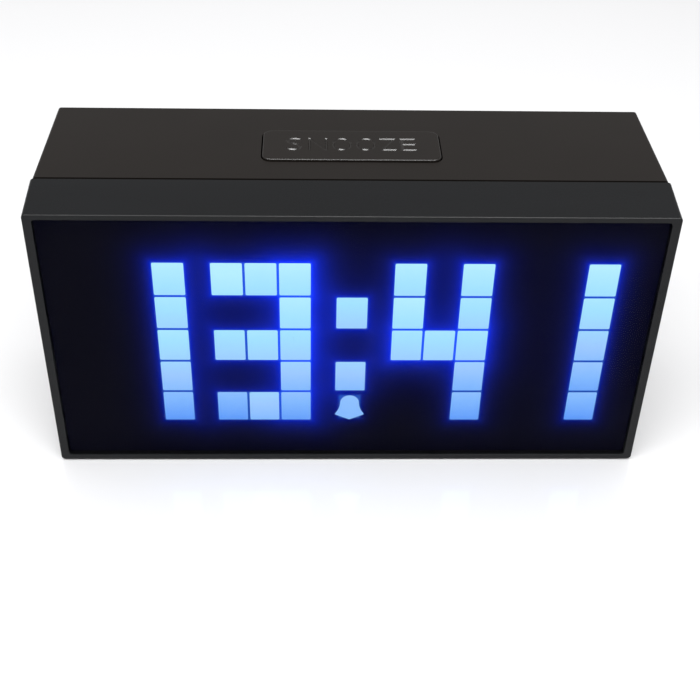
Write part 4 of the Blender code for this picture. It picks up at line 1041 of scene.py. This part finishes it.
@dataclass
class SnoozeButton:
    """The wide button on the top: a hollow cap with a flange, its engraved word, guide pins and presser."""

    corner: float = 2.4 * MM
    plate: float = 2.0 * MM
    flange: float = 2.0 * MM
    flange_drop: float = 3.8 * MM
    flange_depth: float = 1.6 * MM
    edge: float = 0.45 * MM
    skirt: float = 0.05 * MM
    letters: tuple[tuple[str, float, float], ...] = (
        ("S", -15.6 * MM, 4.5 * MM),
        ("N", -9.1 * MM, 5.2 * MM),
        ("O", -2.6 * MM, 5.5 * MM),
        ("O", 3.9 * MM, 5.5 * MM),
        ("Z", 9.8 * MM, 4.7 * MM),
        ("E", 15.4 * MM, 4.5 * MM),
    )
    letter_height: float = 6.8 * MM
    word_setback: float = 0.3 * MM
    stroke_trim: float = 0.30 * MM
    engraving: float = 0.26 * MM
    engraving_cut: float = 0.4 * MM
    capital_height: float = 0.69
    hollow: float = 2.0 * MM
    hollow_cuts: tuple[float, ...] = (0.2 * MM, 0.15 * MM, 0.15 * MM, 0.15 * MM, 0.1 * MM)
    least_corner: float = 0.4 * MM
    root: float = 0.01 * MM
    bite: float = 0.6 * MM
    pin_spread: float = 17.0 * MM
    pin_radius: float = 1.8 * MM
    pin_edge: float = 0.4 * MM
    presser_radius: float = 2.0 * MM
    presser_edge: float = 0.2 * MM
    presser_gap: float = 0.15 * MM
    sunk: float = 0.02 * MM

    def cap(self, half_x: float, half_y: float, top: float) -> Surface:
        """The cap's skin: from its hollow's ceiling down, round the flange and up to the top."""
        under, ledge = top - self.plate, top - self.flange_drop
        low = ledge - self.flange_depth
        inset = self.hollow
        corners = [
            (-inset - self.bite, under),
            (-inset, under),
            (-inset, low),
            (self.flange, low),
            (self.flange, ledge),
            (self.skirt, ledge),
            (self.skirt, top),
            (-1.2 * MM, top),
            (-1.6 * MM, top),
        ]
        cuts = (0, *self.hollow_cuts, self.edge, 0, 0)
        section = softened(corners, cuts)
        return carried(section, (half_x, half_y, self.corner), self.least_corner)

    def letter_cutter(self, letter: str, spot: Sequence[float], width: float) -> bpy.types.Object:
        """A letter as a solid whose lower sides slope in at 45 degrees, with the slope below its spot.

        Args:
            letter: the capital.
            spot: the middle of the letter on the top face.
            width: how wide the letter is at the face.
        Returns:
            The solid, in its place.
        """
        text = bpy.data.curves.new(f"letter_{letter}", "FONT")
        text.body = letter
        text.size = self.letter_height / self.capital_height
        text.offset = -self.stroke_trim
        text.extrude = self.engraving_cut
        text.bevel_depth = self.engraving
        text.bevel_resolution = 0
        text.resolution_u = 8
        drawn = placed(text.name, text)
        bpy.context.view_layer.update()
        mesh = bpy.data.meshes.new_from_object(drawn.evaluated_get(bpy.context.evaluated_depsgraph_get()))
        rise = text.extrude
        bpy.data.objects.remove(drawn, do_unlink=True)
        points = np.empty(len(mesh.vertices) * 3, np.float32)
        mesh.vertices.foreach_get("co", points)
        points = points.reshape(-1, 3)
        low, high = points.min(axis=0)[:2], points.max(axis=0)[:2]
        points[:, :2] = (points[:, :2] - (low + high) / 2) * (width, self.letter_height) / (high - low)
        points += (spot[0], spot[1], spot[2] + rise - self.root)
        mesh.vertices.foreach_set("co", points.ravel())
        mend(mesh, 1e-7, outwards=True)
        return placed("letter_cutter", mesh)

    def build(self, shop: Workshop) -> None:
        """Makes the button."""
        low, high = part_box("snooze_button")
        middle = (low + high) / 2
        half_x, half_y = (high.x - low.x) / 2 - self.flange, (high.y - low.y) / 2 - self.flange
        origin = (middle.x, middle.y, 0.0)
        cap = shop.loose("snooze_cap", self.cap(half_x, half_y, high.z), Facing.UP, origin)
        pins = []
        bite = high.z - self.plate + self.bite
        for side in (-1, 1):
            pin = peg(self.pin_radius, bite, low.z, self.pin_edge)
            spot = (middle.x + side * self.pin_spread, middle.y, 0.0)
            pins.append(shop.loose("guide_pin", pin, Facing.UP, spot))
        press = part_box("snooze_switch_plunger")[1].z + self.presser_gap
        presser = peg(self.presser_radius, bite, press, self.presser_edge)
        pins.append(shop.loose("presser", presser, Facing.UP, origin))
        shop.combine(cap, pins, "UNION")
        face_y = middle.y + self.word_setback
        cutters = [self.letter_cutter(c, (middle.x + x, face_y, high.z), w) for c, x, w in self.letters]
        shop.combine(cap, cutters, "DIFFERENCE")
        shop.show(cap, BUTTON_PLASTIC, "snooze_button", ["snooze_button"])
        self.polish_letters(shop, cap, high.z)

    def polish_letters(self, shop: Workshop, cap: bpy.types.Object, top: float) -> None:
        """Gives the engraved letters and the cap's rounded edge their smoother finish."""
        mesh = cap.data
        mesh.materials.append(shop.material_of(LETTER_PLASTIC))
        count = len(mesh.polygons)
        centres, normals = np.empty(count * 3, np.float32), np.empty(count * 3, np.float32)
        mesh.polygons.foreach_get("center", centres)
        mesh.polygons.foreach_get("normal", normals)
        centres, normals = centres.reshape(-1, 3), normals.reshape(-1, 3)
        high_up = centres[:, 2] > top - self.edge
        sloping = (normals[:, 2] > 0.15) & (normals[:, 2] < 0.97)
        sunk = (centres[:, 2] < top - self.sunk) & (normals[:, 2] > 0.15)
        mesh.polygons.foreach_set("material_index", (high_up & (sloping | sunk)).astype(np.int32))


@dataclass
class SnoozeSprings:
    """The two return springs round the button's guide pins."""

    joint: str = "snooze_press"
    nodes: tuple[str, ...] = ("snooze_spring_left", "snooze_spring_right")

    def build(self, shop: Workshop) -> None:
        """Makes the springs."""
        for node in self.nodes:
            wire = shop.copy_of(node, f"{node}_wire")
            shop.show(wire, SPRING_STEEL, "case", [node], sharp=60.0)
            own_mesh(wire)


@dataclass
class SettingKeys:
    """The four keys in the sunk panel at the back, each with its engraved sign."""

    half_x: float = 4.0 * MM
    half_z: float = 2.5 * MM
    corner: float = 1.2 * MM
    flange: float = 1.2 * MM
    flange_depth: float = 1.6 * MM
    edge: float = 0.35 * MM
    sign_size: float = 2.4 * MM
    sign_depth: float = 0.22 * MM
    least_corner: float = 0.2 * MM
    sign_step: float = 0.5 * MM
    shoulder_drop: float = 2.5 * MM
    bite: float = 0.4 * MM
    presser_radius: float = 1.5 * MM
    presser_edge: float = 0.15 * MM
    eased: float = 0.1 * MM

    def cap(self, depth: float) -> Surface:
        """A key's skin, its outer face at w = 0 and its flange's foot this deep."""
        shoulder = -depth + self.flange_depth
        corners = [
            (-1.4 * MM, -depth),
            (self.flange, -depth),
            (self.flange, shoulder),
            (0.0, shoulder),
            (0.0, 0.0),
            (-0.8 * MM, 0.0),
            (-1.0 * MM, 0.0),
        ]
        section = softened(corners, (0, self.eased, self.eased, self.eased, self.edge, 0, 0))
        return carried(section, (self.half_x, self.half_z, self.corner), self.least_corner)

    def build(self, shop: Workshop) -> None:
        """Makes the four keys."""
        shoulder_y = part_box("rear_housing")[1].y - self.shoulder_drop
        for sign in Sign:
            low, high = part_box(sign.value)
            middle = (low + high) / 2
            origin = (middle.x, high.y, middle.z)
            depth = high.y - shoulder_y + self.flange_depth
            key = shop.loose(f"{sign.value}_cap", self.cap(depth), Facing.BACK, origin)
            stem = high.y - low.y
            presser = peg(self.presser_radius, self.bite - depth, -stem, self.presser_edge)
            shop.combine(key, [shop.loose("presser", presser, Facing.BACK, origin)], "UNION")
            mark = thickened(sign.outline(self.sign_size), -self.sign_depth, self.sign_step)
            shop.combine(key, [shop.loose("sign", mark, Facing.BACK, origin)], "DIFFERENCE")
            shop.show(key, BUTTON_PLASTIC, sign.value, [sign.value])


@dataclass
class BatteryDoor:
    """The hinged door: a plate with raised grip ribs and a pin at each end of its lower edge."""

    corner: float = 0.35 * MM
    edge: float = 0.2 * MM
    pin_radius: float = 0.5 * MM
    rib_count: int = 5
    rib_pitch: float = 1.7 * MM
    rib_half_length: float = 6.0 * MM
    rib_half_width: float = 0.35 * MM
    rib_rise: float = 0.22 * MM
    rib_start: float = 3.2 * MM
    rib_corner: float = 0.3 * MM
    rib_root: float = 0.3 * MM
    rib_edge: float = 0.15 * MM
    pin_length: float = 1.4 * MM
    pin_edge: float = 0.12 * MM

    def build(self, shop: Workshop) -> None:
        """Makes the door."""
        low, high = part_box("battery_door")
        left, right = low.x + self.pin_length, high.x - self.pin_length
        middle = Vector(((left + right) / 2, high.y, (low.z + high.z) / 2))
        half_x, half_z = (right - left) / 2, (high.z - low.z) / 2
        thickness = high.y - low.y
        plate = slab(half_x, half_z, self.corner, -thickness, 0.0, self.edge)
        door = shop.loose("battery_door_plate", plate, Facing.BACK, middle)
        ribs = []
        for number in range(self.rib_count):
            height = high.z - self.rib_start - number * self.rib_pitch
            half_u, half_v = self.rib_half_length, self.rib_half_width
            rib = slab(half_u, half_v, self.rib_corner, -self.rib_root, self.rib_rise, self.rib_edge)
            ribs.append(shop.loose("rib", rib, Facing.BACK, (middle.x, high.y, height)))
        radius = thickness / 2
        reach = half_x + self.pin_length
        profile = [(0.0, reach), (self.pin_radius, reach), (self.pin_radius, -reach), (0.0, -reach)]
        axle = tube_of(profile, (0, self.pin_edge, self.pin_edge, 0), 20)
        axle.points = axle.points[:, [2, 1, 0]]
        ribs.append(shop.loose("axle", axle, Facing.UP, (middle.x, high.y - radius, low.z + radius)))
        shop.combine(door, ribs, "UNION")
        self.round_hinge_edge(door, low.z + radius, high.y - radius, radius)
        shop.show(door, HOUSING_PLASTIC, "battery_door", ["battery_door"])

    @staticmethod
    def round_hinge_edge(door: bpy.types.Object, axis_z: float, axis_y: float, radius: float) -> None:
        """Pulls the plate's lower corners in to a half circle about the hinge's axis."""
        mesh = door.data
        spots = np.empty(len(mesh.vertices) * 3, np.float32)
        mesh.vertices.foreach_get("co", spots)
        spots = spots.reshape(-1, 3)
        offset = spots[:, 1:] - (axis_y, axis_z)
        distance = np.linalg.norm(offset, axis=1)
        outside = (offset[:, 1] < 0) & (distance > radius)
        spots[outside, 1:] = (axis_y, axis_z) + offset[outside] / distance[outside, None] * radius
        mesh.vertices.foreach_set("co", spots.ravel())


# ---- Shells, feet, fasteners and inner pieces -----------------------------------------------------


@dataclass
class CaseShells:
    """The front frame with its bevelled edges, the rear shell, and the seam between them."""

    seam_width: float = 0.95 * MM
    seam_depth: float = 0.5 * MM
    lap: float = 3.0 * MM
    corner: float = 0.9 * MM
    side_draft: float = 0.6 * MM
    top_draft: float = 0.8 * MM
    outer_bevel: float = 0.12 * MM
    mouth_bevel: float = 0.12 * MM
    lens_gap: float = 0.2 * MM
    room: float = 1.0 * MM

    @staticmethod
    def ring(low: Vector, high: Vector, radius: float, section: Sequence[Sequence[float]]) -> Surface:
        """A closed section of (offset, w) points carried round a rounded rectangle that faces the front.

        Args:
            low: the rectangle's lower corner.
            high: its upper corner.
            radius: its corner radius.
            section: the section's points. The offset is outwards from the rectangle.
        Returns:
            The ring, in axes whose origin is the rectangle's middle at y = 0.
        """
        size = ((high.x - low.x) / 2, (high.z - low.z) / 2, radius)
        return carried(section, size, 0.05 * MM, looped=True)

    def cut_ring(
        self,
        shop: Workshop,
        shell: bpy.types.Object,
        low: Vector,
        high: Vector,
        section: Sequence[Sequence[float]],
    ) -> None:
        """Cuts a ring of this section out of a shell."""
        surface = self.ring(low, high, self.corner, section)
        middle = ((low.x + high.x) / 2, 0.0, (low.z + high.z) / 2)
        shop.combine(shell, [shop.loose("ring_cutter", surface, Facing.FRONT, middle)], "DIFFERENCE")

    @staticmethod
    def bevel_section(front: float, width: float, outward: int) -> list[tuple[float, float]]:
        """A triangle that takes a 45 degree bevel off an edge at the front, with room round it."""
        room = 0.3 * MM
        return [
            (-outward * (width + room), front + room),
            (outward * room, front - width - room),
            (outward * room, front + room),
        ]

    def build(self, shop: Workshop) -> None:
        """Makes both shells and the power socket."""
        bezel = shop.copy_of("front_bezel", "front_frame")
        low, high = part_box("front_bezel")
        low = low + Vector((self.side_draft, 0.0, 0.0))
        high = high - Vector((self.side_draft, 0.0, self.top_draft))
        self.cut_ring(shop, bezel, low, high, self.bevel_section(-low.y, self.outer_bevel, 1))
        lens_low, lens_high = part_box("front_lens")
        gap = Vector((self.lens_gap, 0.0, self.lens_gap))
        mouth = self.bevel_section(-low.y, self.mouth_bevel, -1)
        self.cut_ring(shop, bezel, lens_low - gap, lens_high + gap, mouth)
        shop.show(bezel, BEZEL_PLASTIC, "case", ["front_bezel"])
        shell = shop.copy_of("rear_housing", "rear_shell")
        low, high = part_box("rear_housing")
        joint = -(low.y + self.lap)
        outside, inside = self.room, -self.seam_depth
        back, ahead = joint - self.seam_width, joint + self.room
        seam = [(outside, back), (outside, ahead), (inside, ahead), (inside, back)]
        self.cut_ring(shop, shell, low, high, seam)
        shop.show(shell, HOUSING_PLASTIC, "case", ["rear_housing"])
        jack = shop.copy_of("dc_jack", "power_socket")
        shop.show(jack, SOCKET_PLASTIC, "case", ["dc_jack"])


@dataclass
class Feet:
    """Four round rubber feet with a moulded ring in the underside."""

    ring_radius: float = 2.4 * MM
    ring_depth: float = 0.2 * MM
    ring_half_width: float = 0.35 * MM
    eased: float = 0.1 * MM
    edge: float = 0.3 * MM

    def build(self, shop: Workshop) -> None:
        """Makes the feet."""
        for name in sorted(node for node in frame["nodes"] if node.startswith("foot_")):
            low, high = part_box(name)
            middle = (low + high) / 2
            radius, height = (high.x - low.x) / 2, high.z - low.z
            ring = self.ring_radius
            profile = [
                (0.0, height),
                (radius, height),
                (radius, 0.0),
                (ring + self.ring_half_width, 0.0),
                (ring, self.ring_depth),
                (ring - self.ring_half_width, 0.0),
                (0.3 * MM, 0.0),
                (0.0, 0.0),
            ]
            cuts = (0, self.eased, self.edge, self.eased, self.eased, self.eased, 0, 0)
            foot = shop.loose(f"{name}_pad", tube_of(profile, cuts), Facing.UP, (middle.x, middle.y, low.z))
            shop.show(foot, Rubber(), "case", [name])


@dataclass
class CaseScrews:
    """The four pan-head screws at the back, with a cross recess."""

    recess_arm: float = 1.5 * MM
    recess_half_width: float = 0.32 * MM
    recess_depth: float = 1.1 * MM
    head_height: float = 2.2 * MM
    shank_radius: float = 1.5 * MM
    crown: float = 0.9 * MM
    cuts: tuple[float, ...] = (0.6 * MM, 0.5 * MM, 0.1 * MM, 0.1 * MM, 0.2 * MM)
    slot_rise: float = 0.5 * MM
    point: float = 1.5 * MM

    def build(self, shop: Workshop) -> None:
        """Makes the screws."""
        for name in sorted(node for node in frame["nodes"] if node.startswith("case_screw_")):
            low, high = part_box(name)
            middle = (low + high) / 2
            radius = (high.x - low.x) / 2
            length = high.y - low.y
            origin = (middle.x, high.y, middle.z)
            seat = -self.head_height
            profile = [
                (0.0, 0.0),
                (radius * 0.7, -0.02 * MM),
                (radius, -self.crown),
                (radius, seat),
                (self.shank_radius, seat),
                (self.shank_radius, -length + self.point),
                (0.2 * MM, -length),
                (0.0, -length),
            ]
            cuts = (0, *self.cuts, 0, 0)
            screw = shop.loose(f"{name}_steel", tube_of(profile, cuts), Facing.BACK, origin)
            arms = []
            for half_u, half_v in (
                (self.recess_arm, self.recess_half_width),
                (self.recess_half_width, self.recess_arm),
            ):
                arm = slab(half_u, half_v, 0.1 * MM, -self.recess_depth, self.slot_rise, 0.05 * MM)
                arms.append(shop.loose("arm", arm, Facing.BACK, origin))
            shop.combine(screw, arms, "DIFFERENCE")
            shop.show(screw, SCREW_STEEL, "case", [name])


@dataclass
class CoinCell:
    """The back-up cell: a crimped rim, a stepped base and a shallow turned ring on its face."""

    rim: float = 0.8 * MM

    def build(self, shop: Workshop) -> None:
        """Makes the cell."""
        low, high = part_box("coin_cell")
        middle = (low + high) / 2
        radius, thickness = (high.x - low.x) / 2, high.y - low.y
        profile = [
            (0.0, 0.0),
            (radius * 0.80, 0.0),
            (radius * 0.82, -0.08 * MM),
            (radius * 0.84, 0.0),
            (radius, 0.0),
            (radius, -thickness + self.rim),
            (radius - 1.1 * MM, -thickness + 0.4 * MM),
            (radius - 1.4 * MM, -thickness),
            (0.0, -thickness),
        ]
        cuts = (0, 0.05 * MM, 0.05 * MM, 0.05 * MM, 0.25 * MM, 0.15 * MM, 0.1 * MM, 0.15 * MM, 0)
        origin = (middle.x, high.y, middle.z)
        cell = shop.loose("coin_cell_can", tube_of(profile, cuts, 96), Facing.BACK, origin)
        shop.show(cell, COIN_STEEL, "case", ["coin_cell"])


@dataclass
class InnerPieces:
    """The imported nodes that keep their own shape, each with its slot's finish."""

    def finishes(self) -> dict[str, Finish]:
        """The finish of each slot."""
        return {
            "grid_plastic": GRID_PLASTIC,
            "circuit_board": SolderMask(),
            "component_black": SOCKET_PLASTIC,
            "plunger_black": SOCKET_PLASTIC,
            "connector_nylon": CONNECTOR_NYLON,
            "capacitor_sleeve": SOCKET_PLASTIC,
            "crystal_can": SPRING_STEEL,
            "contact_metal": CONTACT_METAL,
            "coin_steel": COIN_STEEL,
            "spring_steel": SPRING_STEEL,
            "screw_steel": SCREW_STEEL,
            "cable_jacket": CABLE_JACKET,
            "foot_rubber": Rubber(),
            "bezel_plastic": BEZEL_PLASTIC,
            "housing_plastic": HOUSING_PLASTIC,
            "button_plastic": BUTTON_PLASTIC,
            "smoked_acrylic": SOCKET_PLASTIC,
            "diffuser_film": CONNECTOR_NYLON,
        }

    def build(self, shop: Workshop) -> None:
        """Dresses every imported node."""
        finishes = self.finishes()
        slots = {part["node"]: part["material_slot"] for part in frame["record"]["subparts"]}
        for name, node in frame["nodes"].items():
            node.data.materials.clear()
            node.data.materials.append(shop.material_of(finishes[slots[name]]))


# ---- Stage ----------------------------------------------------------------------------------------


@dataclass
class Stage:
    """The table, the soft lights and the camera."""

    camera_place: tuple[float, float, float] = (-0.0105, -0.2877, 0.2445)
    pitch_down: float = 38.15
    yaw: float = 2.25
    roll: float = 1.5
    lens: float = 62.71
    table_size: float = 6.0
    sky: float = 0.42

    def build(self, shop: Workshop) -> None:
        """Sets the stage."""
        self.add_camera()
        self.add_table(shop)
        self.add_world()
        self.add_light("overhead_softbox", (0.0, 0.0, 1.1), (0.0, 0.0, 0.0), (1.2, 1.2), 8.5)
        self.add_light("front_softbox", (-0.08, -0.46, 0.88), (0.0, 0.0, 0.05), (1.3, 0.11), 9.0)

    def add_camera(self) -> None:
        """The camera: its yaw turns about +Z, its pitch about its own X, its roll about its sight line."""
        camera = bpy.data.cameras.new("camera")
        camera.lens = self.lens
        camera.sensor_width = 36.0
        holder = placed("camera", camera)
        turn = Matrix.Rotation(math.radians(-self.yaw), 4, "Z")
        tilt = Matrix.Rotation(math.radians(90 - self.pitch_down), 4, "X")
        level = Matrix.Rotation(math.radians(self.roll), 4, "Z")
        holder.matrix_world = Matrix.Translation(self.camera_place) @ turn @ tilt @ level
        bpy.context.scene.camera = holder

    def add_table(self, shop: Workshop) -> None:
        """The table's top, a flat square."""
        half = self.table_size / 2
        corners = np.array(((-half, -half, 0), (half, -half, 0), (half, half, 0), (-half, half, 0)), float)
        mesh = bpy.data.meshes.new("table")
        mesh.from_pydata(corners, [], [(0, 1, 2, 3)])
        table = placed("table", mesh)
        mesh.materials.append(shop.material_of(PaleFloor()))

    def add_world(self) -> None:
        """An even pale sky."""
        world = bpy.data.worlds.new("sky")
        bpy.context.scene.world = world
        world.use_nodes = True
        background = world.node_tree.nodes["Background"]
        background.inputs["Color"].default_value = (1.0, 1.0, 1.0, 1.0)
        background.inputs["Strength"].default_value = self.sky

    @staticmethod
    def add_light(
        name: str,
        place: Sequence[float],
        target: Sequence[float],
        size: tuple[float, float],
        power: float,
    ) -> None:
        """A soft panel light of this width and height at a place, aimed at a target."""
        light = bpy.data.lights.new(name, "AREA")
        light.shape = "RECTANGLE"
        light.size, light.size_y = size
        light.energy = power
        holder = placed(name, light)
        aim = (Vector(target) - Vector(place)).to_track_quat("-Z", "Y")
        holder.matrix_world = Matrix.Translation(place) @ aim.to_matrix().to_4x4()


# ---- The clock's finishes and its making ----------------------------------------------------------

HOUSING_PLASTIC = MouldedPlastic("housing_plastic_sparked", (0.0100, 0.0080, 0.0068), 0.34, 0.16)
BUTTON_PLASTIC = MouldedPlastic("button_plastic_sparked", (0.0098, 0.0078, 0.0066), 0.24, 0.20)
LETTER_PLASTIC = MouldedPlastic(
    "letter_plastic_polished", (0.0098, 0.0078, 0.0066), 0.24, 0.6, 0.25 * MM, 0.001 * MM
)
# Its mottle is stretched along X into horizontal streaks: painted reflection in the bezel's colour, over its
# own random tone.
BEZEL_PLASTIC = MouldedPlastic(
    "bezel_plastic_satin", (0.0068, 0.0072, 0.0080), 0.28, 0.18, 0.25 * MM, 0.003 * MM, 0.2, (0.15, 1.0, 1.0)
)
SOCKET_PLASTIC = MouldedPlastic("component_plastic_black", (0.012, 0.012, 0.013), 0.45)
GRID_PLASTIC = MouldedPlastic("grid_plastic_matt", (0.012, 0.012, 0.014), 0.6)
CONNECTOR_NYLON = MouldedPlastic("connector_nylon_natural", (0.62, 0.58, 0.47), 0.5)
CABLE_JACKET = MouldedPlastic("cable_jacket_grey", (0.28, 0.28, 0.30), 0.55, 0.4)
SCREW_STEEL = WorkedMetal("screw_steel_plated", (0.42, 0.42, 0.44), 0.32)
SPRING_STEEL = WorkedMetal("spring_steel_bright", (0.62, 0.62, 0.64), 0.22)
CONTACT_METAL = WorkedMetal("contact_metal_plated", (0.72, 0.68, 0.58), 0.28)
COIN_STEEL = WorkedMetal("coin_steel_brushed", (0.66, 0.66, 0.68), 0.26, 0.12 * MM, (0.05, 1.0, 1.0))


def main() -> None:
    """Builds the clock and its stage."""
    logging.basicConfig(level=logging.INFO, format="%(name)s %(message)s")
    bpy.context.scene.view_settings.view_transform = "Standard"
    shop = Workshop()
    Stage().build(shop)
    InnerPieces().build(shop)
    CaseShells().build(shop)
    Display().build(shop)
    SnoozeButton().build(shop)
    SnoozeSprings().build(shop)
    SettingKeys().build(shop)
    BatteryDoor().build(shop)
    Feet().build(shop)
    CaseScrews().build(shop)
    CoinCell().build(shop)


if __name__ == "__main__":
    main()
